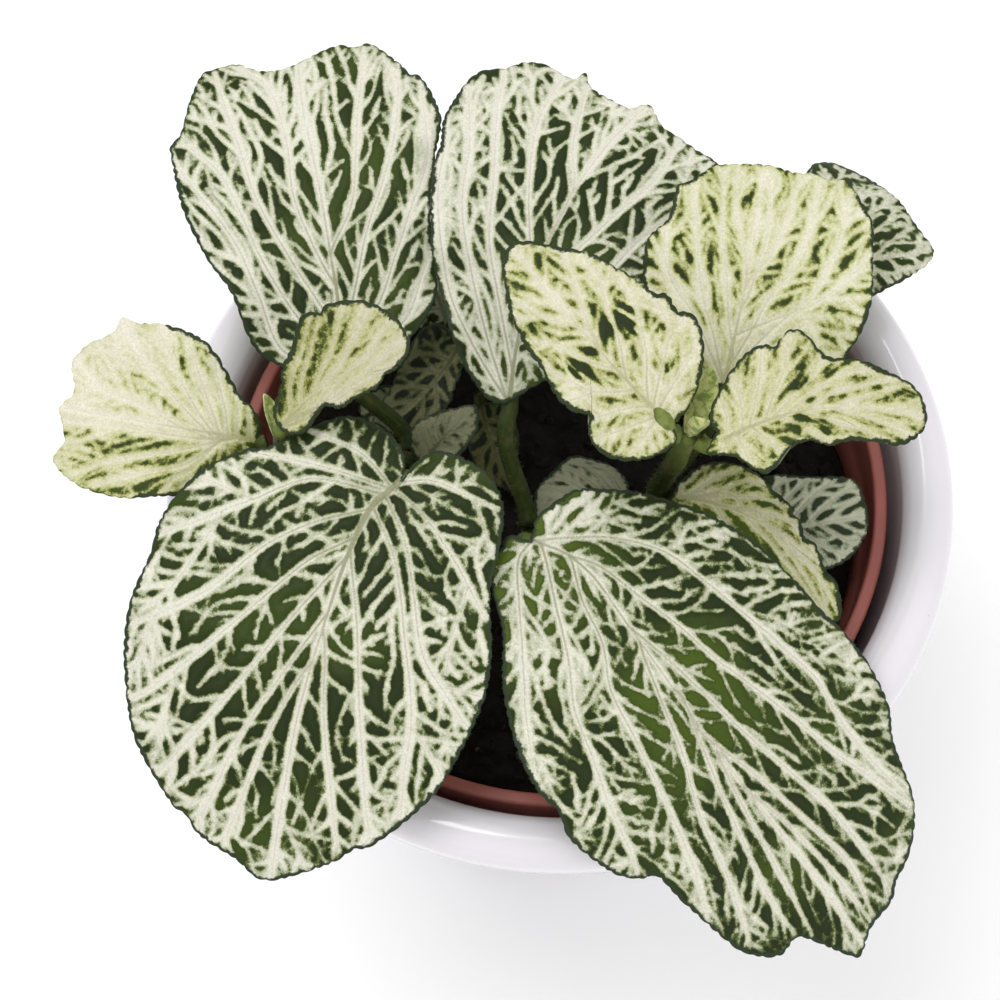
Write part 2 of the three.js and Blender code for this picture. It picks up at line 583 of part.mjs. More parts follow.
function nurseryPot() {
  const underCollar = potTop - COLLAR_HEIGHT;
  const profile = [
    [0, potFloor],
    [POT_BASE_RADIUS - 0.8, potFloor],
    [POT_BASE_RADIUS, potFloor + 0.8],
    [potWallOut, underCollar - 1],
    [POT_RADIUS, underCollar],
    [POT_RADIUS, potTop - 0.5],
    [POT_RADIUS - 0.5, potTop],
    [POT_RADIUS - POT_WALL - 0.2, potTop],
    [POT_RADIUS - POT_WALL - 0.6, potTop - 0.5],
    [POT_RADIUS - POT_WALL - 0.6, underCollar + 0.6],
    [potWallIn, underCollar - 0.6],
    [POT_BASE_RADIUS - POT_WALL, potFloor + 1.4],
    [0, potFloor + 1.4],
  ];
  let solid = lathe(profile, POT_SIDES);
  for (let i = 0; i < DRAIN_COUNT; i += 1) {
    const angle = (i / DRAIN_COUNT) * 2 * Math.PI;
    const x = DRAIN_CIRCLE * Math.cos(angle);
    const y = DRAIN_CIRCLE * Math.sin(angle);
    solid = solid.subtract(rod(DRAIN_RADIUS, new THREE.Vector3(x, y, potFloor - 1), 4, 12));
  }
  return named('nursery_pot', toGeometry(solid), COLOURS.terracotta, 0.5);
}

// Height of the soil's lumpy top at a place.
function soilHeight(x, y) {
  const lumps = Math.sin(x * 0.43 + 1.3) * Math.sin(y * 0.39 + 0.4);
  const clods = Math.sin(x * 0.83 + y * 0.57) * Math.cos(y * 0.71 - x * 0.29);
  return soilTop + SOIL_LUMP * (0.6 * lumps + 0.4 * clods);
}

function soil() {
  const bottom = potFloor + 1.4 + GAP;
  const underCollar = potTop - COLLAR_HEIGHT;
  const slope = (potWallIn - POT_BASE_RADIUS + POT_WALL) / (underCollar - 0.6 - potFloor - 1.4);
  const inside = (z) => POT_BASE_RADIUS - POT_WALL + (z - potFloor - 1.4) * slope - GAP * 1.6;
  const rim = inside(soilTop - 2.5);
  const rows = [[0, 0, soilHeight(0, 0)]];
  for (let ring = 1; ring <= SOIL_RINGS; ring += 1) {
    for (let k = 0; k < SOIL_SIDES; k += 1) {
      const angle = (k / SOIL_SIDES) * 2 * Math.PI;
      const r = (rim * ring) / SOIL_RINGS;
      const x = r * Math.cos(angle);
      const y = r * Math.sin(angle);
      const z = ring === SOIL_RINGS ? soilTop - 2.5 : soilHeight(x, y);
      rows.push([x, y, z]);
    }
  }
  const faces = [];
  const top = 1;
  for (let k = 0; k < SOIL_SIDES; k += 1) {
    const next = (k + 1) % SOIL_SIDES;
    faces.push([0, top + k, top + next]);
    for (let ring = 0; ring < SOIL_RINGS - 1; ring += 1) {
      const inner = top + ring * SOIL_SIDES;
      const outer = inner + SOIL_SIDES;
      faces.push([inner + k, outer + k, outer + next], [inner + k, outer + next, inner + next]);
    }
  }
  const lip = top + (SOIL_RINGS - 1) * SOIL_SIDES;
  const foot = rows.length;
  for (let k = 0; k < SOIL_SIDES; k += 1) {
    const angle = (k / SOIL_SIDES) * 2 * Math.PI;
    const r = inside(bottom);
    rows.push([r * Math.cos(angle), r * Math.sin(angle), bottom]);
  }
  rows.push([0, 0, bottom]);
  for (let k = 0; k < SOIL_SIDES; k += 1) {
    const next = (k + 1) % SOIL_SIDES;
    faces.push([lip + k, foot + k, foot + next], [lip + k, foot + next, lip + next]);
    faces.push([rows.length - 1, foot + next, foot + k]);
  }
  let solid = toSolid(geometryFrom(rows, faces));
  Object.values(SHOOTS).forEach(([foot0]) => {
    const at = overRim(foot0);
    at.z = soilTop - HOLE_DEPTH;
    solid = solid.subtract(rod(STEM_FOOT * SWELL + GAP + 0.15, at, HOLE_DEPTH + 5, 12));
  });
  return named('soil', toGeometry(solid), COLOURS.soil, 0.95);
}

// ---- The whole plant -------------------------------------------------------------------------

function named(name, geometry, colour, roughness) {
  const material = new THREE.MeshStandardMaterial({ color: colour, roughness, metalness: 0 });
  const mesh = new THREE.Mesh(geometry, material);
  mesh.name = name;
  return mesh;
}

const plant = new THREE.Group();
plant.add(coverPot(), nurseryPot(), soil());
plant.add(stemMesh('stem_left', 'left'));
plant.add(stemMesh('stem_middle', 'middle'));
plant.add(stemMesh('stem_right', 'right'));
plant.add(stemMesh('stem_back_left', 'backLeft'));
plant.add(stemMesh('stem_back_right', 'backRight'));
LEAVES.forEach((leaf) => plant.add(leafMesh(leaf)));

export default plant;
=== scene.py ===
"""The looks of a potted nerve plant: veined leaves, hairy stems, soil and both pots.

Lengths in this file are millimetres, turned into metres when a mesh is made. Places in the
plant are [x, y, height over the widest line of the cover pot's lip].
"""
import math
import bmesh
import bpy
import numpy as np
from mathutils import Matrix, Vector


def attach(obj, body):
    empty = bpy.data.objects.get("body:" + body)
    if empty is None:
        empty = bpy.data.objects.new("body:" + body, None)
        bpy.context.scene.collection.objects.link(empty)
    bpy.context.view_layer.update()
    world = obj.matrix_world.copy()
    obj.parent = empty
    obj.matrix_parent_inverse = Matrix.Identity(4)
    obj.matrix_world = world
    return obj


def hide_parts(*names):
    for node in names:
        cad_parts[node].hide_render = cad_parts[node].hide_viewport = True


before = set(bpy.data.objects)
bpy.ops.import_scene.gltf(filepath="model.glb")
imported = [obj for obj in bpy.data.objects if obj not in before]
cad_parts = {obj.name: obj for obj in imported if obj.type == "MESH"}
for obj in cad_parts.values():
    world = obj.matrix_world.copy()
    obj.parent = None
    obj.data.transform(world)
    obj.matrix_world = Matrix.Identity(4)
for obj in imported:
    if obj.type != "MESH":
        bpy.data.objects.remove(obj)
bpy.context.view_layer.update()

MM = 0.001

# ---- Sizes ---------------------------------------------------------------------------------

COVER_HEIGHT = 95
COVER_RADIUS = 54      # at the lip's widest line
COVER_MOUTH = 47
COVER_FOOT = 33
COVER_WALL = 4
COVER_FLOOR = 6
FOOT_ROUND = 2.5       # rounding of the cover pot's foot
FLOOR_ROUND = 3        # rounding inside, between wall and floor
COVER_SIDES = 160
LIP_HEIGHT = 9
LIP_HALF = (COVER_RADIUS - COVER_MOUTH) / 2
RIM_LEVEL = COVER_HEIGHT - LIP_HALF

POT_RADIUS = 45.2      # at the collar
POT_TOP = RIM_LEVEL - 1
POT_BASE_RADIUS = 28
POT_WALL = 1.2
POT_FLOOR = 1.4
POT_SIDES = 144
COLLAR_HEIGHT = 9
COLLAR_STEP = 1.2      # how far the collar stands out of the wall
COLLAR_ROUND = 0.5
DRAIN_COUNT = 6
DRAIN_RADIUS = 3.5
DRAIN_CIRCLE = 18

SOIL_TOP = RIM_LEVEL - 11
SOIL_LUMP = 1.1        # height of the soil's broad lumps
SOIL_COARSE = 0.5      # of the coarse ones
SOIL_FINE = 0.45       # and of the fine ones
SOIL_REACH = 50        # half width of the square in which they lie
SLUMP_DEPTH = 2.0      # how far the soil sinks along the pot's wall
SLUMP_WIDTH = 2.5
SOIL_SIDES = 256
SOIL_RINGS = 90
WALL_RINGS = 12
CRUMB_COUNT = 900
CRUMB_SIZE = (0.25, 1.1)
PALE_CRUMBS = 0.06     # share of the crumbs that are pale
HOLE_DEPTH = 8         # how deep the stems stand in the soil
GAP = 0.3              # between pieces that fit into each other

STEM_FOOT = 1.7        # radius of a stem at its foot
STEM_TOP = 1.2         # and at its end
STEM_SIDES = 16        # points round a stem
SWELL = 1.12           # how much thicker a stem is where a stalk leaves it
SEAT = 0.55            # from a stem's side to a stalk's seat
DEEPER = 0.35          # how far a stalk's visible foot reaches past its seat
STALK_SIDES = 14
STALK_THIN = 0.7       # radius of a stalk before its leaf's length adds to it
STALK_GAIN = 0.011     # what each millimetre of that length adds
STALK_THICK = 1.15     # and the most it comes to
RIB_LENGTH = 0.7       # share of the blade under which the stalk runs on as its midrib
RIB_TAPER = 0.8        # how much of its radius it loses there
BUD_STEPS = 26
BUD_THICK = 0.3

HAIR_THICK = 0.03
FRINGE_HAIR = (0.12, 0.36)   # shortest and longest hairs at a leaf's edge
STEM_HAIR = (0.25, 0.7)      # the same on stems and stalks
STALK_HAIRS = 7              # hairs to a millimetre of stalk
STEM_HAIRS = 11              # hairs to a millimetre of stem

TOP_STEP = 0.24        # spacing of the points on a leaf's upper face
FINE_STEP = 0.2        # the same on the finely streaked pale leaves
UNDER_STEP = 0.8       # the same on a leaf's lower face
BLADE_HALF = 0.2       # half the thickness of a blade
LEAF_MIDDLE = 0.46     # place of a blade's middle, as a share of its length
OVATE_COUNT = 9        # pieces of one side of a plain egg-shaped outline
EDGE_BLOCK = 32        # the points round an edge are a multiple of this, so rings can halve them
TOOTH_WIDTH = (0.9, 2.3)   # narrowest and widest tooth of an edge
TOOTH_DEPTH = 0.3
EDGE_CALM = 1.5        # how far inside the edge the relief reaches its full height
DOME = 0.3             # rise of the green between veins
GROOVE = 0.16          # depth of the main veins on the upper face
RIDGE = 0.3            # their height on the lower face
CREPE = 0.12           # height and size of the wrinkles on the upper face
CREPE_SIZE = 2.6
GRAIN = 0.05           # the same of the finest ones
GRAIN_SIZE = 0.9
LUMP_SIZE = 2.8        # sizes of the places where the white comes and goes
SPECK_SIZE = 0.7
TONE_SIZE = 9.0        # size of the warmer patches

CELL = 0.125           # cell of a leaf's vein chart
CHART_SPARE = 3        # how far a chart reaches past its leaf
NO_VEIN = -3.0         # value of a chart's cell with no vein near it
VEIN_STEP = 0.45       # length of one piece of a vein
MAIN_PAIRS = 5         # pairs of main veins where a leaf's row gives none
NEAR_MAIN = 1.1        # how far the paler strip along a main vein reaches
WIDE_OPEN = 9          # the widest gap between main veins that is measured
BUSY_REACH = 2.5       # how far round a vein its distance is kept, for each mm of green
RIB_WIDER = 1.2        # width of the midrib's white, as a share of a main vein's
FORK_WIDTH = 0.72      # the same for a fork
FORK_STEPS = 40        # most pieces of a fork
SIDE_STEPS = 31        # most pieces of a side vein
EARLY_STEPS = (4, 10)  # pieces of a side vein that ends early: the fewest, and one over the most
SIDE_TURN = 7          # degrees by which the slant of side veins varies
MOST_FILLS = 700       # most veins that fill wide green places

# Stems: places from the foot to the end.
SHOOTS = {
    "left": [[-12, 1.8, -9.5], [-14, 1.5, -2], [-20, 0.5, 6], [-28.5, -0.8, 13],
             [-37, -1.4, 18.6]],
    "middle": [[-2, -6.4, -9.5], [-2.3, -7.2, -4], [-3.2, -9, 2], [-4.2, -11, 8]],
    "right": [[12.5, -5.4, -9.5], [12.6, -5.2, -2], [13, -4, 8], [14.6, -4.2, 18],
              [15.6, -4.6, 27]],
    "backLeft": [[-9.2, 16.5, -9.5], [-9.5, 17, -4], [-10.5, 18.5, 2], [-11.5, 20, 8]],
    "backRight": [[19.4, 14.2, -9.5], [20, 14.6, -4], [22.5, 16.5, 1], [25.5, 19, 6]],
}
# Names of the stems' pieces.
STEM_NODES = {
    "left": "stem_left",
    "middle": "stem_middle",
    "right": "stem_right",
    "backLeft": "stem_back_left",
    "backRight": "stem_back_right",
}
# Where stalks leave the stems: the stem and the number of its place.
NODES = {
    "leftFoot": ["left", 1],
    "leftMid": ["left", 2],
    "leftTop": ["left", 4],
    "middleTop": ["middle", 3],
    "rightFoot": ["right", 1],
    "rightMid": ["right", 2],
    "rightTop": ["right", 4],
    "backLeftFoot": ["backLeft", 1],
    "backLeftTop": ["backLeft", 3],
    "backRightMid": ["backRight", 2],
    "backRightTop": ["backRight", 3],
}
# Young folded leaves at the stems' ends: tip and half width.
YOUNG = {
    "left": [[[-38.4, 2.8, 23], 0.9]],
    "middle": [[[0.4, -11.6, 12.5], 1.1]],
    "right": [[[18.2, 2.5, 31.5], 1.7], [[17, -5.4, 33], 1.2]],
    "backLeft": [[[-9.8, 22, 13.2], 1.2]],
    "backRight": [[[27.5, 21, 11.5], 1.2]],
}

# How a leaf's veins spread and what colours them.
# Pairs for the leaf's middle and its edge:
#   main, side   half widths of the white along main and side veins
#   side_space   spacing of the side veins
#   lean         their slant, in degrees
#   green        how far the green reaches between veins
#   grow         what the white gains everywhere
# Single values:
#   free         share of the side veins that end early
#   bend         how much a side vein turns at each step
#   spurs        spurs to a millimetre of vein
#   patch        how much the white comes and goes
#   soft         how often the field of white is softened
#   rib          width of the midrib's line
#   space        spacing of the forks along a main vein
#   glow_and_tone  yellow-green: painted light through the blade near the stalk, own tone in patches
#   dim          share of painted shade, which darkens leaves deep in the plant
STYLES = {
    "dark": dict(main=[0.4, 0.8], side=[0.24, 0.44], side_space=[3.4, 2.0], lean=[44, 36],
                 green=[1.8, 1.0], grow=[0, 0.1], free=0.2, bend=0.02, spurs=1.8, patch=0.1,
                 soft=2, rib=0.4, space=6, glow_and_tone=[0.1, 0.25], dim=0),
    "pale": dict(main=[0.6, 0.6], side=[0.5, 0.48], side_space=[2.3, 2.1], lean=[26, 26],
                 green=[1.05, 1.0], grow=[0, 0], free=0.1, bend=0.01, spurs=1.2, patch=0.28,
                 soft=1, rib=0.3, space=4, glow_and_tone=[0.3, 0.4], dim=0),
    "shade": dict(main=[0.4, 0.6], side=[0.24, 0.32], side_space=[2.8, 2.0], lean=[42, 36],
                  green=[1.5, 1.1], grow=[0, 0.1], free=0.2, bend=0.02, spurs=1, patch=0.12,
                  soft=2, rib=0.3, space=5, glow_and_tone=[0, 0.2], dim=0),
}

# One row for each leaf. A place on a blade is [s, t]: s runs from base to tip, t across.
#   node, leave, drop   where the stalk starts, which way it leaves, and how many degrees it
#                       drops from the blade
#   base, tip, roll     the blade's two ends, and its turn about the line between them
#   bow, arch, cup      how far the midrib bows sideways, the blade's middle and its sides rise
#   width               half width that belongs to the cup
#   wave, waves         height and number of the waves along the edge
#   notch               set where the outline runs in to the stalk
#   left, right         both sides of the outline, from base to tip
#   ovate               half width of a plain egg shape instead of an outline
#   rib, veins          courses of the midrib and of the other main veins
#   look                the leaf's own values in place of its style's
#   spots               [s, t, size, more]: round places where the white gains or loses
#   bias                what the white gains near the base, near the tip, on each side
#   bare                share of the length from which on the dark margin fades
#   rise                how far the stalk's end is lifted
LEAVES = [
    dict(
        name="leaf_front_left", node="leftMid", style="dark",
        look=dict(main=[0.34, 0.95], side=[0.2, 0.46], side_space=[3.6, 2.2], lean=[56, 40],
                  green=[2.0, 1.0], grow=[0.02, 0.04], bend=0.03, spurs=1.9, patch=0.14, space=7,
                  glow_and_tone=[0, 0.45]),
        spots=[[46, 0, 11, -0.12], [19, 2, 9, 0.14]],
        rib=[[0, 0], [2.5, 1.5], [5, 2.6], [9, 3.1], [14, 3.2], [20, 3.1], [26, 3], [33, 2.6], [42, 1.6],
             [51, 0.5]],
        base=[-20.5, -10, 25], tip=[-37, -56, 4], drop=75, leave=[0.1, -1, 0.2],
        bow=4.4, arch=3.5, cup=-2, width=23, wave=0.7, waves=9, notch=True,
        left=[[-2.5, -0.8], [-4.5, -2.5], [-5, -4.5], [-4, -10], [-1, -13], [4, -14.3], [9.5, -15],
              [16, -17.5], [21.5, -18.5], [27, -18.3], [32, -17.5], [35.5, -16.5], [41, -13.5],
              [45, -10.3], [45.3, -9.3], [48, -7]],
        right=[[-2, 0.5], [-4, 2], [-5.5, 6], [-5.5, 9], [-4.5, 11], [-1.5, 14.5], [1.5, 18], [3, 21],
              [8, 25.5], [15, 28], [19, 27.8], [24, 28], [29, 27.5], [33.5, 26.5], [39.5, 23.5], [44, 20],
              [48.5, 15], [49, 13], [50.5, 11], [52, 5], [53.5, 2]],
        veins=[[[1, 1.5], [-1.5, 6], [-2, 10.5]],
               [[1.5, 2.5], [1.5, 9], [2, 14.5]],
               [[2.5, 2.5], [3.5, 11], [8.5, 17.5], [13, 23]],
               [[5, 3], [8, 8], [12.5, 13], [19, 17.5]],
               [[9, 3.5], [13, 7.5], [20, 12], [28, 17], [35, 22]],
               [[13, 4], [21, 7.5], [30, 11], [41, 16]],
               [[19.5, 3.5], [27, 6], [37, 9], [46, 10.5]],
               [[27.5, 4], [34.5, 5.5], [44.5, 6.5]],
               [[1.5, 1], [-1, -3.5], [-0.5, -10]],
               [[1.5, 0.5], [3, -3.5], [6.5, -8.5], [12, -14.5]],
               [[2.5, 1.5], [7, -3], [13.5, -6.5], [20, -10], [24, -14.5]],
               [[3.5, 2.5], [9.5, -2.5], [18.5, -7], [28, -11], [34, -12]],
               [[11.5, 2.5], [18, -0.5], [27.5, -4], [38, -8]],
               [[23, 2], [31, -0.5], [40.5, -4.5]]],
    ),
    dict(
        name="leaf_front_right", node="middleTop", style="dark",
        look=dict(main=[0.46, 0.8], side=[0.24, 0.38], side_space=[3.4, 2.0], lean=[36, 34],
                  green=[1.6, 0.95], grow=[0, -0.05], spurs=2.2, patch=0.14, rib=0.16, space=5.5,
                  glow_and_tone=[0.9, 0.6]),
        spots=[[0.4, -8, 3, 0.5], [-1, -4, 2, 0.3], [56, 2, 11, -0.13], [12, 8, 8, 0.16]],
        rib=[[0, 0], [4, -2.2], [8, -3], [16.5, -2.4], [26, -1.7], [36, -1.1], [46, -1.2], [56, -1.6],
             [64, -1.4]],
        base=[-4.5, -16.5, 21], tip=[37.5, -64, -4], drop=80, leave=[-0.1, -1, 0.2],
        bow=-2.4, arch=4, cup=-2, width=22, wave=0.7, waves=10, notch=True,
        left=[[-1.5, -2.5], [-1.5, -7], [-1, -9], [2, -13], [4.5, -15.5], [9.5, -18.8], [14.5, -21.5],
              [20, -23.5], [24.5, -23.6], [29, -24], [35, -25], [41, -24.5], [47, -23.5], [50, -21.5],
              [53.5, -20], [57.5, -18.5], [61.5, -15.5], [63.5, -13], [64.5, -10.5], [66, -8.5],
              [66.5, -3.5]],
        right=[[-2, 1.5], [-1.5, 3], [-0.5, 5.5], [1.5, 7.5], [6, 10], [11, 14], [14.5, 16], [21, 19],
              [25, 19.5], [28.5, 19], [31.5, 20], [38.5, 18.5], [41.5, 16], [42.3, 14.5], [47, 14],
              [54.5, 12.5], [57.5, 11.5], [61, 8], [60.5, 5], [62.5, 3.5], [67, 1]],
        veins=[[[1, 2.5], [5.5, 6.5], [10.5, 10.5]],
               [[3, 0], [8.5, 3], [14, 6], [19.5, 9.5], [25, 11.5], [31, 13.5]],
               [[4.5, -2.5], [10, 0], [15.5, 1.5], [20.5, 4.5], [27, 6], [33.5, 7.5]],
               [[20, -1.5], [26, 0.5], [32.5, 2.5], [39.5, 5.5], [45.5, 7]],
               [[26.5, -2], [32, -0.5], [38.5, 1.5], [45, 3], [52, 4.5]],
               [[35.5, -1], [39.5, 0], [45.5, 1], [52.5, 2]],
               [[3, -4], [6.5, -8.5], [12, -12.5], [18, -14], [24.5, -15.5], [30, -16.5]],
               [[8, -4.5], [14, -6], [20, -7.5], [26, -8.5], [31.5, -10], [39, -12],
                [45.5, -13.5], [53, -16]],
               [[16.5, -2.5], [22, -3.5], [28.5, -4.5], [36, -5.5], [43, -7], [50, -8.5], [56.5, -9]],
               [[31.5, -1], [42, -3.5], [47.5, -4.5], [55, -6]],
               [[41, -1], [47.5, -2.5], [55, -3.5], [62.5, -4]]],
    ),
    dict(
        name="leaf_back_left", node="leftMid", style="dark",
        look=dict(main=[0.55, 0.8], side=[0.32, 0.4], side_space=[4, 2.6], lean=[36, 34],
                  green=[1.6, 1.0], grow=[0, 0.03], spurs=1.2, rib=0.35, space=6, glow_and_tone=[0.2, 0.5]),
        spots=[[34, -1.5, 9, 0.12]],
        rib=[[0, 0], [8.6, 0.4], [14, 0.3], [23, 0.1], [30, -0.3], [36, -0.7], [41, -0.6]],
        bare=0.93,
        base=[-29, 11, 15], tip=[-35.5, 53.5, 22], drop=25, leave=[-0.1, 1, 0.3],
        bow=-0.6, arch=3, cup=1.5, width=18, wave=0.8, waves=8,
        left=[[0, -6.5], [3, -11], [5, -12], [11, -13.5], [16, -16], [21.5, -18], [26, -18.7],
              [30.5, -19], [32.5, -19], [34, -17.5], [39, -15.6], [43.5, -13.5], [44, -12.5], [45, -9],
              [43.5, -6], [43, -2.5]],
        right=[[-1, 2], [0, 5.5], [1, 8], [6, 13], [11.5, 14], [16.5, 14], [24.5, 15.5], [30.5, 17.5],
              [32, 17.5], [38.5, 15.5], [39, 14.5], [41, 13.5], [45.5, 9.5], [45, 7.5], [45.5, 5.5]],
        veins=[[[13.5, -1], [23, -3.5], [31.5, -3.5], [40.5, -5], [43.5, -7.5]],
               [[9, -2.5], [15.5, -5.5], [23.5, -8.5], [32, -10], [40, -11.5], [43.5, -12]],
               [[6.5, -5], [14, -8.5], [20.5, -10.5], [28, -13], [32, -16.5]],
               [[2.5, -7.5], [10.5, -10], [17.5, -12], [24, -15.5], [28.5, -18]],
               [[16, 1], [21, 4], [28, 5.5], [34, 6.5], [40.5, 8], [43, 8.5]],
               [[8.5, 2.5], [17, 5.5], [24.5, 9], [31.5, 11.5], [38.5, 12.5], [42.5, 11.5]],
               [[7.5, 6], [13.5, 9], [19.5, 12], [26, 15], [34, 15.5]],
               [[4.5, 9], [10, 12], [14, 14]]],
    ),
    dict(
        name="leaf_back_middle", node="middleTop", style="dark",
        look=dict(main=[0.52, 0.8], side=[0.28, 0.39], side_space=[3.6, 2.4], lean=[32, 32],
                  green=[1.5, 0.95], grow=[0.04, 0.07], spurs=1.2, rib=0.3, glow_and_tone=[0.8, 0.6]),
        bare=0.9,
        base=[-7, 3.5, 17], tip=[12, 46.5, 22], drop=10, leave=[-0.1, 1, 0.3],
        bow=-4, arch=4, cup=1, width=18, wave=0.7, waves=9,
        left=[[0, -1.5], [1.5, -5.5], [5, -10], [9.5, -13.5], [15, -17.5], [20, -19.8], [25, -22],
              [29, -22.5], [33.5, -24], [40, -23.5], [42, -22.5], [44, -19.5], [46, -18], [47.5, -15.5],
              [47.5, -11], [49.3, -10.2], [47.3, -8.6], [46, -5], [45.5, -2]],
        right=[[4, 2.4], [8, 5.2], [12, 8.5], [17, 11.5], [22.5, 13.5], [28.5, 15], [34, 15], [39, 14],
              [42, 12], [43, 9.5], [44.5, 5.5], [45, 3]],
        veins=[[[2.5, -0.5], [13.5, -7.5], [19, -11], [28.5, -14.5], [37.5, -18], [43.5, -19.5]],
               [[7, -6], [15, -12], [22.5, -16.5], [30.5, -19], [38, -22.5]],
               [[9, -11.5], [15, -16], [22.5, -20], [27.5, -21.5]],
               [[21, -6], [27.5, -9], [34.5, -11.5], [39, -12.5], [46, -12.5]],
               [[22, -4], [31, -4], [36.5, -6.5], [45, -8.5]],
               [[23.5, 0.5], [29.5, 3], [36, 5.5], [43.5, 6]],
               [[22, 5.5], [26.5, 7], [31, 9.5]]],
    ),
    dict(
        name="leaf_back_right", node="rightMid", style="pale",
        look=dict(main=[0.58, 0.56], side=[0.43, 0.41]),
        spots=[[11, -12, 3.5, 0.4]], bare=0.9,
        base=[20.5, 4, 22], tip=[26.5, 33, 29], drop=30,
        bow=0.4, arch=2.5, cup=1, width=15, wave=0.6, waves=8,
        left=[[0.5, -2], [2, -5.5], [4.5, -8.5], [7.5, -11], [11, -12.5], [14, -13], [17, -13],
              [20.5, -11], [25, -10.5], [26, -9], [29, -6.5], [30, -4]],
        right=[[0, 2], [0.5, 5.5], [2, 9.5], [4, 13], [6.5, 14.5], [10, 16], [14, 16.5], [18.5, 16],
              [24, 15], [27.5, 13], [30.3, 10.5], [30, 8.5], [30.5, 6.5], [30, 4]],
        veins=[[[3, -1], [6.5, -2.5], [10.5, -4.5], [15, -6], [19, -7], [24, -8.5]],
               [[4, 0.5], [9, -1], [13.5, -2], [18.5, -3.5], [24, -4.5], [28.5, -5]],
               [[3.5, -2], [8, -5], [11.5, -8.5], [15, -10.5], [18, -11]],
               [[13, 0.5], [18, -0.5], [23, -2.5], [26.5, -3]],
               [[15.5, 1.5], [18, 3], [22, 4], [27, 4.5], [29, 5]],
               [[4.5, 1], [8.5, 2.5], [13, 4], [15.5, 5.5], [20.5, 7], [25, 7.5], [29.5, 7.5]],
               [[3.5, 1.5], [8, 4.5], [11, 7], [14.5, 9.5], [18, 10.5], [22.5, 11.5], [27, 11.5]],
               [[11, 7], [12.5, 9.5], [15, 12], [19.5, 15]],
               [[12, 1], [16.5, 1.5], [20.5, 2], [26, 1.5], [29, 1]]],
    ),
    dict(
        name="leaf_far_right", node="backRightTop", style="dark",
        look=dict(main=[0.28, 0.32], side=[0.16, 0.19], side_space=[3.2, 2.4], lean=[32, 30],
                  green=[1.3, 1]),
        bare=0.75,
        base=[32, 28, 12], tip=[52, 31, 10], drop=20,
        bow=1.6, arch=2, cup=-1, width=8, wave=0.4, waves=7,
        left=[[0.2, -3.5], [1.5, -7.5], [3.5, -12], [6, -15.5], [7.5, -17], [10, -17], [11.5, -16],
              [15, -12.5], [17, -8.5], [18, -5], [20, -1.5]],
        right=[[0, 3], [1.5, 5], [4, 6.5], [6.5, 7], [11, 6.5], [15, 4.6], [18, 3], [19.5, 1.5]],
    ),
    dict(
        name="leaf_tip_left", node="rightTop", style="pale",
        look=dict(main=[0.6, 0.6], side=[0.52, 0.36], side_space=[2.6, 1.6], lean=[42, 46],
                  green=[1.1, 0.75], dim=0.1),
        spots=[[12.6, 4.6, 1.9, -0.9], [12.9, 1.9, 1.3, -0.7], [11.5, -4.7, 1.7, -0.8], [12, -1.8, 1, -0.6],
               [4.4, 4.3, 1.2, -0.7], [9, 6.5, 1.5, -0.4], [23, 0, 5, 0.2]],
        base=[12, -5, 32], tip=[-7, 16, 38], drop=30, rise=1.3,
        bow=-0.8, arch=1.5, cup=1.5, width=11, wave=0.5, waves=8,
        left=[[-1.5, 0.5], [-3, -0.5], [-3, -2.5], [-2, -5.5], [1, -8.8], [3, -9.4], [4.8, -8.8],
              [6.2, -7.3], [7.2, -8.4], [8.5, -9], [12.5, -8.6], [16.5, -7.8], [20.5, -7], [24, -5]],
        right=[[-0.5, 4.5], [2.5, 8.5], [6, 11], [8, 11], [9, 10], [11.5, 10], [12.5, 9], [16.5, 8.5],
              [18.5, 7.5], [22, 6.5], [25, 4.5]],
        veins=[[[14, 0], [17.5, 1.5], [20.5, 3], [23, 4]],
               [[8.5, 0.5], [11, 2], [15, 3.5], [17.5, 5], [20, 5.5]],
               [[4.5, 1], [7.5, 3.5], [10, 5], [13.5, 6.5], [16, 7]],
               [[2.5, 0.5], [5, 4], [6.5, 6], [8.5, 8], [11, 8.5]],
               [[1.5, 0.5], [2.5, 3.5], [3.5, 7], [4, 9]],
               [[13.5, 0], [16, -1], [18.5, -3], [21.5, -4]],
               [[8, -0.5], [11, -2.5], [14, -4], [16, -5], [17.5, -6.5]],
               [[5, -0.5], [7, -3.5], [9, -5.5], [11.5, -6.5], [13.5, -7.5]],
               [[2.5, -0.5], [4, -3], [5, -5.5]],
               [[1, -1], [2, -4], [3, -7], [3.5, -9]],
               [[0.5, -1.5], [0, -3.5], [-0.5, -5.5]]],
    ),
    dict(
        name="leaf_tip_right", node="rightTop", style="pale",
        look=dict(main=[0.42, 0.42], side=[0.3, 0.27], side_space=[2.1, 1.8], lean=[20, 20],
                  green=[0.9, 0.8], patch=0.16, dim=0.12),
        spots=[[9.7, -5, 0.9, -0.6], [10.8, -5.7, 0.7, -0.5], [13.9, -6.2, 0.8, -0.5],
               [10.8, -3.2, 0.7, -0.5], [13.2, -3.5, 0.7, -0.5], [9.4, -1.1, 1, -0.6],
               [11.9, -0.5, 0.8, -0.5], [8.8, 0.2, 0.7, -0.5], [11.9, 1.2, 0.7, -0.5],
               [19.5, -4.2, 0.9, -0.4], [23.1, -4.2, 0.6, -0.4], [16.8, -5.7, 0.6, -0.4]],
        base=[19.5, -7.5, 32], tip=[44.5, -4.5, 31], drop=55,
        bow=-2, arch=2, cup=1.5, width=9, wave=0.5, waves=7,
        left=[[-1, -1], [-1.5, -3], [-1, -4.5], [0, -6], [2, -8.4], [4.5, -10.5], [6.5, -11],
              [7.2, -10.5], [9.5, -12], [11, -11.5], [13.5, -9], [16.8, -7.8], [20, -7], [24, -5],
              [25, -3.5]],
        right=[[-2, 0.5], [-2.5, 1.5], [0.5, 2.8], [3.5, 5.5], [4.5, 5.5], [8, 2.4], [12.5, 3],
              [18.5, 3], [21, 3.5], [24, 2]],
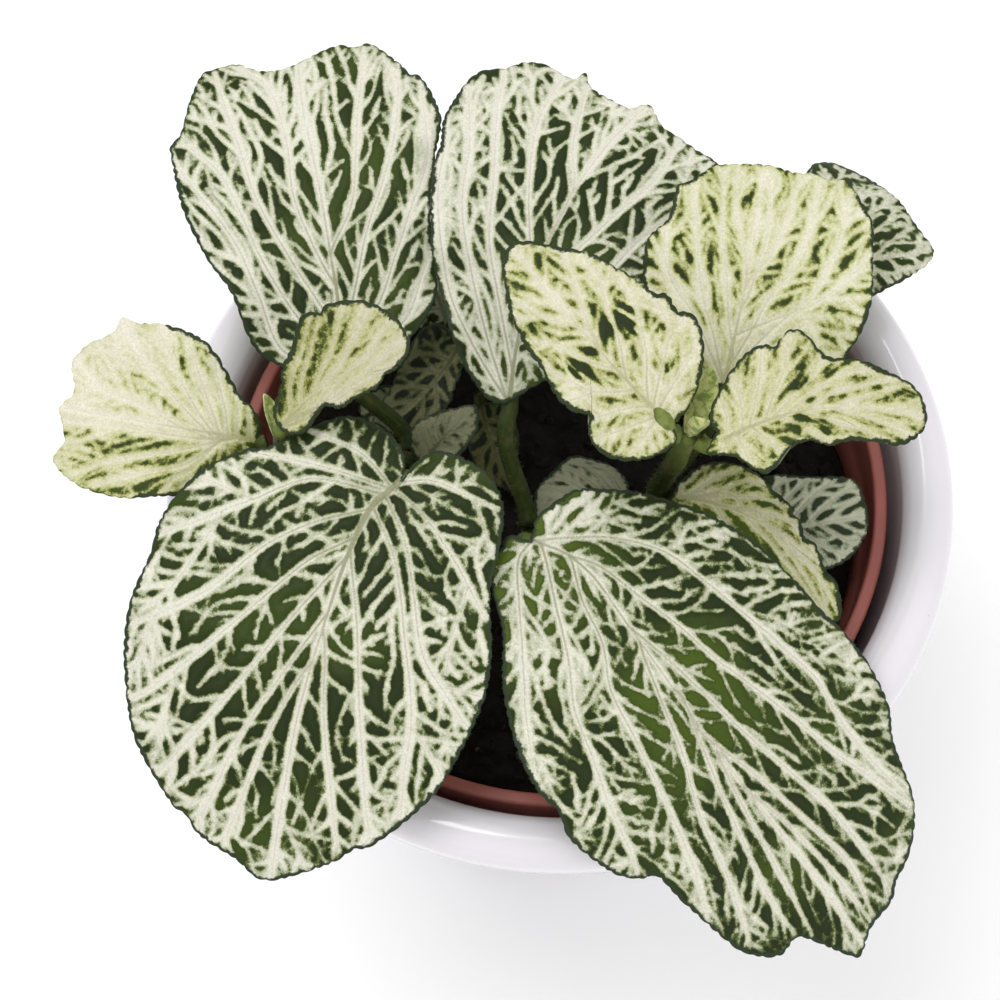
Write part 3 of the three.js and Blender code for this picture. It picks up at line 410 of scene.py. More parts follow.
        veins=[[[1, 0], [0.5, -3.5], [0, -5.5]],
               [[2, -0.5], [2.5, -4], [2, -6.5]],
               [[3, -1], [4, -3.5], [5, -6.5], [5.5, -9]],
               [[5, -1.5], [6.5, -4.5], [8, -7], [9, -10]],
               [[6.5, -2], [9, -4], [11, -5.5], [13, -8]],
               [[8, -2], [11, -4], [15, -6], [17.5, -6.5]],
               [[10, -2], [14, -4], [17, -4.5], [21.5, -5.5]],
               [[14, -2], [19, -3.5], [23, -4.5]],
               [[0, 0.5], [-0.5, 2], [0, 3]],
               [[1.5, 0.5], [2, 3], [2.5, 4]],
               [[3.5, -0.5], [5, 1.5], [6, 3]],
               [[6.5, -1.5], [8.5, -0.5], [10.5, 1.5], [12, 2.5]],
               [[10, -1.5], [13.5, 0], [17, 1.5], [18.5, 2.5]],
               [[14.5, -1.5], [18.5, 0], [22, 2]]],
    ),
    dict(
        name="leaf_pale_left", node="leftTop", style="pale",
        look=dict(main=[0.5, 0.5], side=[0.36, 0.36], side_space=[1.9, 1.8], lean=[14, 14],
                  green=[0.85, 0.8], dim=0.08),
        bias=[-0.22, 0.5, -0.42, 0.1], bare=0.5,
        base=[-40, -1.8, 19], tip=[-65, 2, 20.5], drop=15, leave=[-1, -0.5, 0], roll=-13,
        bow=-0.4, arch=2, cup=0.8, width=11, wave=0.5, waves=7,
        left=[[0.5, -3.5], [2.5, -6], [5, -8], [9.5, -9.5], [14.5, -10.5], [17.5, -10.5],
              [20.5, -10], [24, -8], [25, -6.5], [24, -4.5], [24.5, -2.5]],
        right=[[-0.5, 2], [1, 4], [2.5, 5], [4.5, 7.5], [8, 11], [13.5, 12.5], [17.5, 12], [19, 12.5],
              [20, 10.5], [23.5, 8.5], [25, 6], [24.3, 4], [23.8, 2]],
        veins=[[[4.5, -1], [7, 0.5], [11, 3.5], [14.5, 6.5], [17.5, 10]],
               [[4.5, -0.5], [6.5, 1], [9.5, 4.5], [12, 8], [13.5, 11.5]],
               [[4, -0.5], [5.5, 2], [7.5, 5.5], [9, 8.5]],
               [[3, -0.5], [4, 2.5], [5.5, 6]],
               [[2, -0.5], [2.5, 2.5], [3, 5.5]],
               [[0.5, 0], [1, 2.5]],
               [[5, -1], [10, 0], [15.5, 2], [20, 3], [23.5, 6]],
               [[5, -1], [10, -1.5], [17, -1.5], [23, -1.5]],
               [[5, -1.5], [9.5, -3.5], [14, -5], [18, -6.5], [21.5, -8.5]],
               [[5, -2], [8, -5], [13, -7], [16.5, -8.5]],
               [[5.5, -3], [7, -5.5], [9, -7], [9.5, -8]]],
    ),
    dict(
        name="leaf_pale_middle", node="leftTop", style="pale",
        look=dict(main=[0.28, 0.28], side=[0.16, 0.16], side_space=[1.6, 1.5], lean=[14, 14],
                  green=[0.65, 0.65], patch=0.18, dim=0.25),
        spots=[[7, -1, 4, -0.07], [12, -3, 3.5, -0.07]], bias=[-0.12, 0.02, -0.4, 0.32],
        base=[-36.5, -3.4, 25.5], tip=[-24, 9, 36], drop=60, leave=[0.6, 0, 0.9],
        roll=-6,
        bow=1.8, arch=1, cup=3, width=8, wave=0.4, waves=6,
        left=[[1.5, -1.5], [5.5, -2.8], [9.5, -4], [13, -5], [14.5, -5], [15.5, -4], [17, -4],
              [19.5, -2]],
        right=[[0.8, 1.5], [2.5, 3.5], [7, 4], [8.5, 6], [12, 8], [14.5, 9.5], [16, 9], [17.5, 10],
              [20.5, 10], [21.5, 6.5], [21.5, 3.5]],
        veins=[[[2.5, 1], [5.5, -1.5], [9, -2.5], [12, -3.5]],
               [[3, 2], [7, -0.5], [11, -2], [15, -3.5]],
               [[4, 2.5], [8.5, 1], [12.5, 0], [16.5, -2]],
               [[4.5, 3], [9.5, 2.5], [13.5, 2], [18, 0]],
               [[7, 3.5], [12, 3.5], [15.5, 4.5], [19.5, 4]],
               [[8, 4], [13, 5.5], [18.5, 7], [21, 8.5]],
               [[9, 5], [13.5, 7], [17.5, 9], [20, 11.5]]],
    ),
    dict(
        name="leaf_low_right", node="rightMid", style="pale",
        look=dict(main=[0.36, 0.4], side=[0.22, 0.26], side_space=[2.6, 2.3], lean=[30, 34],
                  green=[1.25, 1.1], grow=[-0.12, -0.2], patch=0.2, glow_and_tone=[0.5, 0.6], dim=0.04),
        base=[15.5, -6, 9.5], tip=[36.5, -21.5, 5], drop=15,
        bow=-3.7, arch=2, cup=-1.5, width=9, wave=0.5, waves=7,
        left=[[-1, -3.5], [0.5, -7], [4, -8.7], [7.5, -9], [11, -8.2], [14.5, -7], [16.5, -5.5],
              [18, -6], [21.5, -3.5], [23, -3.5]],
        right=[[-0.5, 1.5], [3.5, 3], [8, 4], [13.5, 5], [18.5, 4.5], [23.5, 3], [25.5, 1.5]],
        veins=[[[-0.5, -1], [-0.5, -4.5], [0, -7]],
               [[1.5, -3], [2.5, -6], [4, -8]],
               [[4, -4.5], [6, -7.5], [8, -8.5]],
               [[6.5, -5], [10, -7], [12, -7.5]],
               [[9.5, -4.5], [13.5, -6], [16.5, -5.5]],
               [[13, -4], [17, -4], [19, -4]],
               [[16.5, -3], [20.5, -2.5], [22, -1.5]],
               [[2, -2.5], [4, -2], [6, -1]],
               [[5.5, -4.5], [8.5, -3], [10.5, -2.5]],
               [[9, -4.5], [12, -3.5], [14, -3]]],
    ),
    dict(
        name="leaf_inner_right", node="rightFoot", style="shade",
        base=[24.5, -7, -2], tip=[42, -5, 0.5], drop=10,
        bow=0.3, arch=1, cup=-0.5, width=7, wave=0.3, waves=6,
        left=[[0.5, -3], [1.5, -5.5], [4, -7.5], [6.5, -8], [12.5, -6.5], [16, -6], [17.3, -5],
              [17.8, -2.5]],
        right=[[0, 2], [1.5, 4.5], [4, 6.5], [7.5, 7.5], [11, 7], [14.5, 5.5], [17.3, 2.2]],
    ),
    dict(
        name="leaf_shade_left", node="backLeftTop", style="shade",
        look=dict(dim=0.85),
        base=[-13.5, 17.5, 8.5], tip=[-24.5, 7.5, 2.5], drop=20, leave=[-0.4, -1, 0.2],
        bow=-1.9, arch=2, cup=-1, width=7, wave=0.3, waves=5,
        left=[[1, -2], [2.5, -3], [5, -4.5], [7.5, -5.5], [10, -5.5], [12, -5], [14.5, -3.6],
              [16, -2]],
        right=[[0, 2.5], [0.5, 4.5], [2.5, 5.5], [6.5, 4.2], [10, 2.8], [13.5, 2.2], [16.5, 1.5]],
    ),
    dict(
        name="leaf_shade_middle", node="backLeftFoot", style="shade",
        look=dict(dim=0.95),
        base=[-11, 14, -2.5], tip=[-6.5, 1, -5], drop=10,
        bow=0.7, arch=1.5, cup=-1, width=5, wave=0.3, waves=5,
        left=[[1, -2], [3.5, -3.5], [7, -3.3], [10.5, -1.8]],
        right=[[1.5, 1.5], [4.5, 3.5], [8, 4], [11, 3.5], [13, 1.5]],
    ),
    dict(
        name="leaf_shade_pale", node="leftFoot", style="shade",
        look=dict(main=[0.6, 0.6], side=[0.45, 0.45], side_space=[1.7, 1.6], green=[0.7, 0.65],
                  dim=0.75),
        base=[-17.5, 0, 10.5], tip=[-11.5, 6, 12.5], drop=60, leave=[0.6, -1, 0.2],
        bow=0.2, arch=1, cup=1, width=6, wave=0.3, waves=5,
        left=[[-1.5, -2.5], [0, -3.8], [3, -3.6], [6, -2]],
        right=[[-1, 2], [1, 3.2], [4, 3.5], [7, 2.4]],
    ),
    dict(
        name="leaf_inner_middle", node="rightFoot", style="shade",
        look=dict(main=[0.6, 0.6], side=[0.4, 0.4], side_space=[1.8, 1.7], green=[0.8, 0.7],
                  dim=0.5),
        base=[9.5, -2, 0], tip=[-3.5, -5.5, 2], drop=15,
        bow=1, arch=2, cup=-1, width=6, wave=0.3, waves=5,
        left=[[0.5, -1.8], [3, -2.6], [6.5, -3.5], [10, -3.5], [12.4, -2]],
        right=[[-0.5, 2.5], [1.2, 5], [3.8, 6.5], [6.5, 7], [9.5, 5.5], [11.8, 4], [13.2, 2]],
    ),
    dict(
        name="leaf_shade_side", node="leftFoot", style="shade",
        look=dict(dim=0.6),
        base=[-18.5, 9.2, -4], tip=[-28, 12.2, -1], drop=15, leave=[-0.4, 1, 0],
        bow=0.9, arch=1, cup=0.5, width=5, wave=0.3, waves=5,
        left=[[1.5, -2], [4, -3], [7.5, -2.5]],
        right=[[1, 2], [3.5, 3.5], [6, 4.5], [8.5, 4], [9.5, 2.5]],
    ),
    dict(
        name="leaf_under_left", node="backLeftFoot", style="dark",
        base=[-15.5, 23.5, 2], tip=[-27, 39.5, 7], drop=15,
        bow=1, arch=3, cup=-1, width=9, wave=0.4, waves=7, ovate=9,
    ),
    dict(
        name="leaf_under_middle", node="backLeftTop", style="dark",
        base=[-8, 25, 9], tip=[2.5, 49, 6], drop=20,
        bow=-1, arch=2.5, cup=-1, width=9, wave=0.4, waves=7, ovate=9,
    ),
    dict(
        name="leaf_under_right", node="backRightMid", style="dark",
        base=[20, 22, 5], tip=[14, 46, 6], drop=20,
        bow=1, arch=2.5, cup=-1, width=8, wave=0.4, waves=7, ovate=8,
    ),
]

# ---- Small helpers -----------------------------------------------------------------------------


def over_rim(p):
    """A place given over the lip's widest line, counted from the floor."""
    return np.array([p[0], p[1], p[2] + RIM_LEVEL], float)


def unit(v):
    """The same direction, of length 1."""
    return v / max(np.linalg.norm(v), 1e-9)


def units(rows):
    """The same directions, each of length 1."""
    return rows / np.linalg.norm(rows, axis=1)[:, None]


def turned(v, angle):
    """A flat direction turned by an angle in radians."""
    c, s = math.cos(angle), math.sin(angle)
    return np.array([c * v[0] - s * v[1], s * v[0] + c * v[1]])


def mixed(pair, share):
    """The value at a share of the way between two."""
    return pair[0] + (pair[1] - pair[0]) * share


def around(count):
    """Angles of count places round a circle."""
    return np.arange(count) / count * 2 * math.pi


def spline(points, closed, piece):
    """Centripetal curve through the points, cut into pieces of about the given length."""
    p = np.array(points, float)
    if closed:
        ring = np.vstack([p[-1], p, p[0], p[1]])
    else:
        ring = np.vstack([2 * p[0] - p[1], p, 2 * p[-1] - p[-2]])
    rows = []
    for i in range(len(ring) - 3):
        a, b, c, d = ring[i:i + 4]
        k0, k1, k2 = (max(np.linalg.norm(v), 1e-4) ** 0.5 for v in (b - a, c - b, d - c))
        m1 = ((b - a) / k0 - (c - a) / (k0 + k1) + (c - b) / k1) * k1
        m2 = ((c - b) / k1 - (d - b) / (k1 + k2) + (d - c) / k2) * k1
        count = max(1, int(round(np.linalg.norm(c - b) / piece)))
        t = np.arange(count)[:, None] / count
        square = -3 * b + 3 * c - 2 * m1 - m2
        cube = 2 * b - 2 * c + m1 + m2
        rows.append(b + t * m1 + t ** 2 * square + t ** 3 * cube)
    if not closed:
        rows.append(p[-1:])
    return np.vstack(rows)


def even(points, closed, count=None, step=None):
    """The same line with its points evenly spaced."""
    p = np.vstack([points, points[:1]]) if closed else np.asarray(points, float)
    gaps = np.linalg.norm(np.diff(p, axis=0), axis=1)
    along = np.concatenate([[0], np.cumsum(gaps)])
    if count is None:
        count = max(2, int(round(along[-1] / step)) + 1)
    at = np.linspace(0, along[-1], count, endpoint=not closed)
    return np.stack([np.interp(at, along, p[:, k]) for k in range(p.shape[1])], axis=1)


class Chart:
    """A flat map of one number over a leaf's own plane, in millimetres."""

    def __init__(self, low, high, value):
        self.low = np.array(low, float) - CHART_SPARE
        count = np.ceil((np.array(high, float) + CHART_SPARE - self.low) / CELL).astype(int) + 2
        self.cells = np.full(count, value, np.float32)

    def stamp(self, a, b, wide_a, wide_b, reach):
        """Raises the cells round the line a to b to half width less distance."""
        lo = np.maximum(((np.minimum(a, b) - reach - self.low) / CELL).astype(int), 0)
        hi = ((np.maximum(a, b) + reach - self.low) / CELL).astype(int) + 2
        x = self.low[0] + CELL * np.arange(lo[0], min(hi[0], self.cells.shape[0])) - a[0]
        y = self.low[1] + CELL * np.arange(lo[1], min(hi[1], self.cells.shape[1])) - a[1]
        if not len(x) or not len(y):
            return
        ab = b - a
        x = x[:, None]
        y = y[None, :]
        t = np.clip((x * ab[0] + y * ab[1]) / max(ab @ ab, 1e-9), 0, 1)
        value = wide_a + (wide_b - wide_a) * t - np.hypot(x - t * ab[0], y - t * ab[1])
        view = self.cells[lo[0]:lo[0] + value.shape[0], lo[1]:lo[1] + value.shape[1]]
        np.maximum(view, value, out=view)

    def stamp_path(self, path, reach, wide=None):
        """Stamps a path piece by piece. It has no width where none is given."""
        wide = np.zeros(len(path)) if wide is None else wide
        for i in range(len(path) - 1):
            self.stamp(path[i], path[i + 1], wide[i], wide[i + 1], reach)

    def at(self, p):
        """The map's value in the cell at one place."""
        return self.cells[int((p[0] - self.low[0]) / CELL), int((p[1] - self.low[1]) / CELL)]

    def places(self):
        """Both flat coordinates of every cell."""
        i, j = np.indices(self.cells.shape)
        return self.low[0] + CELL * i, self.low[1] + CELL * j

    def read(self, s, t):
        """The map's value at flat places, between its cells."""
        x = np.clip((s - self.low[0]) / CELL, 0, self.cells.shape[0] - 1.001)
        y = np.clip((t - self.low[1]) / CELL, 0, self.cells.shape[1] - 1.001)
        i = np.floor(x).astype(int)
        j = np.floor(y).astype(int)
        return blend(self.cells, i, j, x - i, y - j)


def blend(cells, i, j, u, v):
    """The value at shares u and v of the way from cell i, j to the next ones."""
    near = cells[i, j] * (1 - v) + cells[i, j + 1] * v
    far = cells[i + 1, j] * (1 - v) + cells[i + 1, j + 1] * v
    return near * (1 - u) + far * u


def ease(u):
    """A share from 0 to 1 that starts and ends slowly."""
    return u * u * (3 - 2 * u)


def cloud(rng, low, high, size):
    """A smooth random field between -1 and 1 with lumps of the given size."""
    low = np.array(low, float) - 2 * size
    count = np.ceil((np.array(high, float) - low) / size).astype(int) + 4
    cells = rng.uniform(-1, 1, count)

    def read(s, t):
        x = np.clip((s - low[0]) / size, 0, count[0] - 2.001)
        y = np.clip((t - low[1]) / size, 0, count[1] - 2.001)
        i = np.floor(x).astype(int)
        j = np.floor(y).astype(int)
        return blend(cells, i, j, ease(x - i), ease(y - j))

    return read


class Builder:
    """Collects points and faces of one mesh, in millimetres."""

    def __init__(self):
        self.points = []
        self.faces = {3: [], 4: []}
        self.slots = {3: [], 4: []}
        self.count = 0

    def add(self, points, faces, slot=0):
        """faces: arrays of 3 or 4 columns that index the given points."""
        start = self.count
        self.points.append(np.asarray(points, float))
        self.count += len(points)
        for part in faces:
            part = np.asarray(part, int)
            if part.size:
                self.faces[part.shape[1]].append(part + start)
                self.slots[part.shape[1]].append(np.full(len(part), slot))
        return start

    def mesh(self, name, smooth=True):
        """Everything collected, as one mesh in metres."""
        points = np.vstack(self.points) * MM
        loops = []
        sizes = []
        slots = []
        for size in (3, 4):
            if self.faces[size]:
                part = np.vstack(self.faces[size])
                loops.append(part.ravel())
                sizes.append(np.full(len(part), size))
                slots.append(np.concatenate(self.slots[size]))
        loops, sizes, slots = (np.concatenate(part) for part in (loops, sizes, slots))
        starts = np.concatenate([[0], np.cumsum(sizes)[:-1]])
        mesh = bpy.data.meshes.new(name)
        mesh.vertices.add(len(points))
        mesh.vertices.foreach_set("co", points.astype(np.float32).ravel())
        mesh.loops.add(len(loops))
        mesh.loops.foreach_set("vertex_index", loops.astype(np.int32))
        mesh.polygons.add(len(sizes))
        mesh.polygons.foreach_set("loop_start", starts.astype(np.int32))
        mesh.polygons.foreach_set("material_index", slots.astype(np.int32))
        mesh.polygons.foreach_set("use_smooth", np.full(len(sizes), smooth))
        mesh.update(calc_edges=True)
        mesh.validate()
        return mesh


def place(name, mesh, materials, slot, *nodes):
    """Links a finished mesh as a piece that stands for the given nodes."""
    piece = bpy.data.objects.new(name, mesh)
    bpy.context.scene.collection.objects.link(piece)
    for material in materials:
        mesh.materials.append(material)
    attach(piece, "root")
    if nodes:
        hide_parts(*nodes)
    return piece


def note(mesh, name, values):
    """Stores one number for each point of the mesh."""
    layer = mesh.attributes.new(name, "FLOAT", "POINT")
    layer.data.foreach_set("value", np.asarray(values, np.float32))


def ring_quads(sides, count):
    """Quads that join count rings of points, one ring after the other."""
    k = np.arange(sides)
    after = (k + 1) % sides
    return np.vstack([np.stack([a + k, a + after, a + sides + after, a + sides + k], 1)
                      for a in range(0, (count - 1) * sides, sides)])


def fan(sides, first, middle, flip=False):
    """Triangles that join the ring from point first on with the point in its middle."""
    k = np.arange(sides)
    pair = [first + k, first + (k + 1) % sides]
    return np.stack([np.full(sides, middle)] + (pair[::-1] if flip else pair), 1)


def closed_rings(sides, count):
    """Faces of a bar of rings whose two end points come after the rings."""
    size = sides * count
    return [ring_quads(sides, count), fan(sides, 0, size, True),
            fan(sides, size - sides, size + 1)]


def tube(points, radii, sides):
    """A closed round bar through the points: its points and its faces."""
    points = np.asarray(points, float)
    count = len(points)
    across = np.array([1, 0.2, 0.1])
    rows = []
    angle = around(sides)
    for i in range(count):
        along = unit(points[min(i + 1, count - 1)] - points[max(i - 1, 0)])
        across = unit(across - along * (across @ along))
        up = np.cross(along, across)
        ring = np.outer(np.cos(angle), across) + np.outer(np.sin(angle), up)
        rows.append(points[i] + radii[i] * ring)
    return np.vstack(rows + [points[:1], points[-1:]]), closed_rings(sides, count)


def hairs(roots, ways, lengths):
    """Fine three-sided hairs: their points and faces."""
    n = len(roots)
    ways = units(ways)
    helper = np.where(np.abs(ways[:, 2:3]) > 0.8, [[1.0, 0, 0]], [[0, 0, 1.0]])
    a = units(np.cross(ways, helper))
    b = np.cross(ways, a)
    rows = []
    for k in range(3):
        angle = k * 2 * math.pi / 3
        rows.append(roots + HAIR_THICK * (math.cos(angle) * a + math.sin(angle) * b))
    rows.append(roots + ways * lengths[:, None])
    points = np.stack(rows, 1).reshape(-1, 3)
    i = np.arange(n) * 4
    faces = [np.stack(f, 1) for f in ((i, i + 1, i + 3), (i + 1, i + 2, i + 3),
                                      (i + 2, i, i + 3), (i, i + 2, i + 1))]
    return points, [np.vstack(faces)]


# ---- Leaf shapes ---------------------------------------------------------------------------------


def ovate_outline(length, half_width):
    """Both sides of a plain egg-shaped blade, from base to tip."""
    side = []
    for i in range(1, OVATE_COUNT):
        q = i / OVATE_COUNT
        wide = math.sin(math.pi * q ** 0.8) ** 0.75
        side.append([q * length, half_width * wide * (1 + 0.05 * math.sin(9 * q))])
    return [[s, -t] for s, t in side], side


def rib_at(rib, s):
    """How far a leaf's midrib lies to the side at a place along the leaf."""
    return np.interp(s, rib[:, 0], rib[:, 1])


class Leaf:
    """One blade: its own plane, its toothed edge and its bent surface."""

    def __init__(self, spec):
        self.spec = spec
        self.style = dict(STYLES[spec["style"]])
        self.style.update(spec.get("look", {}))
        self.base = over_rim(spec["base"])
        self.tip = over_rim(spec["tip"])
        self.length = np.linalg.norm(self.tip - self.base)
        self.along = (self.tip - self.base) / self.length
        up = unit(np.array([0, 0, 1.0]) - self.along * self.along[2])
        across = np.cross(self.along, up)
        roll = math.radians(spec.get("roll", 0))
        self.normal = up * math.cos(roll) + across * math.sin(roll)
        self.side = across * math.cos(roll) - up * math.sin(roll)
        self.centre = np.array([LEAF_MIDDLE * self.length, self.midrib(LEAF_MIDDLE)])
        self.rng = np.random.default_rng(sum(ord(c) for c in spec["name"]))
        self.make_edge()

    def midrib(self, q):
        """How far the midrib bows sideways at a share of the length."""
        return self.spec["bow"] * 4 * q * (1 - q)

    def make_edge(self):
        """The outline with its teeth, and its distance from the middle by angle."""
        spec = self.spec
        if "ovate" in spec:
            left, right = ovate_outline(self.length, spec["ovate"])
        else:
            left, right = spec["left"], spec["right"]
        start = [[0, 0]] if "notch" in spec or "ovate" in spec else []
        outline = start + left + [[self.length, 0]] + right[::-1]
        line = spline(outline, True, 0.15)
        size = np.linalg.norm(np.diff(line, axis=0), axis=1).sum()
        self.step = FINE_STEP if spec["style"] == "pale" else TOP_STEP
        count = EDGE_BLOCK * max(4, int(round(size / self.step / EDGE_BLOCK)))
        line = even(line, True, count=count)
        ahead = units(np.roll(line, -1, 0) - np.roll(line, 1, 0))
        out = np.stack([ahead[:, 1], -ahead[:, 0]], 1)
        if ((line - self.centre) * out).sum() < 0:
            out = -out
        # small rounded teeth of uneven width all round the edge
        places = np.cumsum(self.rng.uniform(*TOOTH_WIDTH, int(size / TOOTH_WIDTH[0])))
        places = places[places < size]
        at = np.arange(count) / count * size
        phase = np.interp(at, np.concatenate([[0], places, [size]]),
                          np.arange(len(places) + 2))
        tall = np.interp(at, np.concatenate([[0], places]),
                         self.rng.uniform(0.4, 1.0, len(places) + 1))
        bump = np.abs(np.sin(math.pi * phase)) ** 0.7
        line = line + out * ((bump - 0.6) * tall * TOOTH_DEPTH)[:, None]
        self.edge = line
        self.edge_out = out
        self.size = size
        flat = line - self.centre
        angle = np.arctan2(flat[:, 1], flat[:, 0])
        order = np.argsort(angle)
        self.edge_angle = angle[order]
        self.edge_radius = np.hypot(flat[:, 0], flat[:, 1])[order]
        self.low = line.min(0)
        self.high = line.max(0)

    def reach(self, angle):
        """Distance from the middle to the edge at the given angles."""
        return np.interp(angle, self.edge_angle, self.edge_radius, period=2 * math.pi)

    def ring_of(self, s, t):
        """Share of the way from the middle to the edge."""
        ds = s - self.centre[0]
        dt = t - self.centre[1]
        return np.hypot(ds, dt) / self.reach(np.arctan2(dt, ds))

    def room(self, p):
        """How far a place lies inside the edge, measured along its ray."""
        d = p - self.centre
        return self.reach(math.atan2(d[1], d[0])) - math.hypot(d[0], d[1])

    def height(self, s, t, ring):
        """How far the blade's middle surface stands over its plane."""
        spec = self.spec
        q = s / self.length
        out = (t - self.midrib(q)) / spec["width"]
        angle = np.arctan2(t - self.centre[1], s - self.centre[0])
        edge = spec["wave"] * ring ** 3 * np.sin(spec["waves"] * angle + 0.7)
        return spec["arch"] * 4 * q * (1 - q) + spec["cup"] * out * out + edge

    def surface(self, s, t, ring, lift):
        """Points over the blade's middle surface by the given lift."""
        d = 0.05
        h = self.height(s, t, ring)
        slope_s = (self.height(s + d, t, ring) - h) / d
        slope_t = (self.height(s, t + d, ring) - h) / d
        n = self.normal - np.multiply.outer(slope_s, self.along)
        n = units(n - np.multiply.outer(slope_t, self.side))
        p = self.base + np.multiply.outer(s, self.along) + np.multiply.outer(t, self.side)
        return p + np.multiply.outer(h, self.normal) + n * lift[:, None]


# ---- Veins ---------------------------------------------------------------------------------------


def soft_max(a, b, soft):
    """The greater of two fields, with the corner between them filled a little."""
    return np.maximum(a, b) + soft * np.log1p(np.exp(-np.abs(a - b) / soft))


class Veins:
    """The net of white veins and green islands in a leaf's plane, as charts."""

    def __init__(self, leaf):
        self.leaf = leaf
        self.rng = leaf.rng
        self.white = self.chart(NO_VEIN)
        self.fine = self.chart(NO_VEIN)
        self.line = self.chart(NO_VEIN)
        self.margin = self.chart(-6.0)
        closed = np.vstack([leaf.edge, leaf.edge[:1]])
        for a, b in zip(closed[:-1:2], closed[2::2]):
            self.margin.stamp(a, b, 0, 0, 3)
        mains = [even(path, False, step=VEIN_STEP) for path in self.main_paths()]
        mains = [self.to_edge(path) for path in mains]
        self.s, self.t = self.white.places()
        self.ring = self.like(leaf.ring_of(self.s, self.t))
        away = np.clip((np.hypot(self.s, self.t) / leaf.length - 0.1) / 0.4, 0, 1)
        # 0 in the leaf's middle and near its stalk, 1 at its edge
        self.zone = self.like(np.clip(self.ring.cells, 0, 1) ** 1.6 * away)
        # share of the full spacing of veins, less near the stalk
        self.full = self.like(0.6 + 0.4 * away)
        swell = cloud(self.rng, leaf.low, leaf.high, 3.0)
        widths = []
        for rank, path in enumerate(mains):
            others = np.vstack([other for other in mains if other is not path])
            room = np.hypot(*(path[:, None] - others[None]).transpose(2, 0, 1)).min(1)
            widths.append(self.paint_main(path, RIB_WIDER if rank == 0 else 1, swell, room))
        forks = self.fork(mains)
        widths += [self.paint_main(path, FORK_WIDTH, swell, WIDE_OPEN) for path in forks]
        stems = mains + forks
        self.lay_near(stems)
        busy = self.chart(-20)
        for path in stems:
            busy.stamp_path(path, BUSY_REACH * leaf.style["green"][0])
        twigs = self.side_veins(stems, busy)
        twigs += self.fill(stems + twigs, busy)
        widths += [self.paint_side(path) for path in twigs]
        self.white.cells = soft_max(self.white.cells, self.fine.cells, 0.12)
        self.paint_spurs(stems + twigs, widths)
        field = self.white.cells
        for _ in range(leaf.style["soft"]):
            field[1:-1] = 0.25 * (field[:-2] + field[2:]) + 0.5 * field[1:-1]
            field[:, 1:-1] = 0.25 * (field[:, :-2] + field[:, 2:]) + 0.5 * field[:, 1:-1]

    def chart(self, value):
        """A chart over the whole leaf, filled with one value."""
        return Chart(self.leaf.low, self.leaf.high, value)

    def like(self, cells):
        """A chart over the whole leaf with the given cells."""
        chart = self.chart(0)
        chart.cells = cells.astype(np.float32)
        return chart

    def side_veins(self, stems, busy):
        """Finer veins off both sides of the given ones, aslant and bent forward, until they meet
        another vein, the margin or the middle of the green."""
        rng = self.rng
        style = self.leaf.style
        taken = self.chart(-20)
        starts = []
        for path in stems:
            for i in range(2, len(path) - 2):
                for hand in (-1, 1):
                    starts.append((path[i], unit(path[i + 1] - path[i - 1]), hand))
        born = []
        for k in rng.permutation(len(starts)):
            start, way, hand = starts[k]
            zone = self.zone.at(start)
            space = mixed(style["side_space"], zone) * (0.5 + 0.5 * self.full.at(start))
            slant = mixed(style["lean"], zone) + rng.uniform(-SIDE_TURN, SIDE_TURN)
            angle = math.radians(slant)
            heading = turned(way, hand * angle)
            probe = start + 1.2 * heading
            if self.leaf.room(probe) < 0.2 or -taken.at(probe) < 0.75 * space * math.sin(angle):
                continue
            if -busy.at(start + heading) < 0.5 * math.sin(angle):
                continue
            path = [start]
            wobble = 0
            early = rng.random() <= style["free"]
            longest = rng.integers(*EARLY_STEPS) if early else SIDE_STEPS
            for n in range(longest):
                p = path[-1] + VEIN_STEP * heading
                path.append(p)
                if self.ring.at(p) > 0.985 or (n > 2 and -busy.at(p) < 0.3):
                    break
                if n > 5 and self.mid.at(p) > 0.92 and rng.random() < 0.15:
                    break
                wobble = 0.7 * wobble + rng.normal(0, 0.05)
                heading = turned(heading, wobble - hand * style["bend"])
            if len(path) > 3:
                path = np.array(path)
                taken.stamp_path(path, 2.5)
                busy.stamp_path(path, BUSY_REACH * style["green"][0])
                born.append(path)
        return born

    def fill(self, stems, busy):
        """Veins into every spot still too wide and green, each from the place on another vein
        that reaches it with the least way and turn."""
        rng = self.rng
        at = np.vstack([path[1:-1] for path in stems])
        way = units(np.vstack([path[2:] - path[:-2] for path in stems]))
        green = self.leaf.style["green"]
        most = mixed(green, self.zone.cells) * self.full.cells
        most = most * (1 + 0.25 * cloud(rng, self.leaf.low, self.leaf.high, 5)(self.s, self.t))
        inside = self.ring.cells < 0.97
        born = []
        for _ in range(MOST_FILLS):
            wide = np.where(inside, -busy.cells - most, -1)
            spot = np.unravel_index(np.argmax(wide), wide.shape)
            if wide[spot] <= 0:
                break
            q = np.array([self.s[spot], self.t[spot]])
            step = q - at
            far = np.hypot(*step.T) + 1e-6
            turn = (step * way).sum(1) / far
            i = np.argmin(far * (1.75 - turn))
            goal = q + 0.35 * far[i] * way[i]
            bend = at[i] + 0.6 * step[i] - 0.12 * far[i] * way[i] + rng.normal(0, 0.15, 2)
            share = np.linspace(0, 1, max(7, int(1.3 * far[i] / VEIN_STEP)))[:, None]
            path = (1 - share) ** 2 * at[i] + 2 * share * (1 - share) * bend + share ** 2 * goal
            path = path[self.leaf.ring_of(path[:, 0], path[:, 1]) < 1]
            if len(path) < 4:
                inside &= np.hypot(self.s - q[0], self.t - q[1]) > 0.8
                continue
            busy.stamp_path(path, BUSY_REACH * green[0])
            born.append(path)
            at = np.vstack([at, path[1:-1]])
            way = np.vstack([way, units(path[2:] - path[:-2])])
        return born

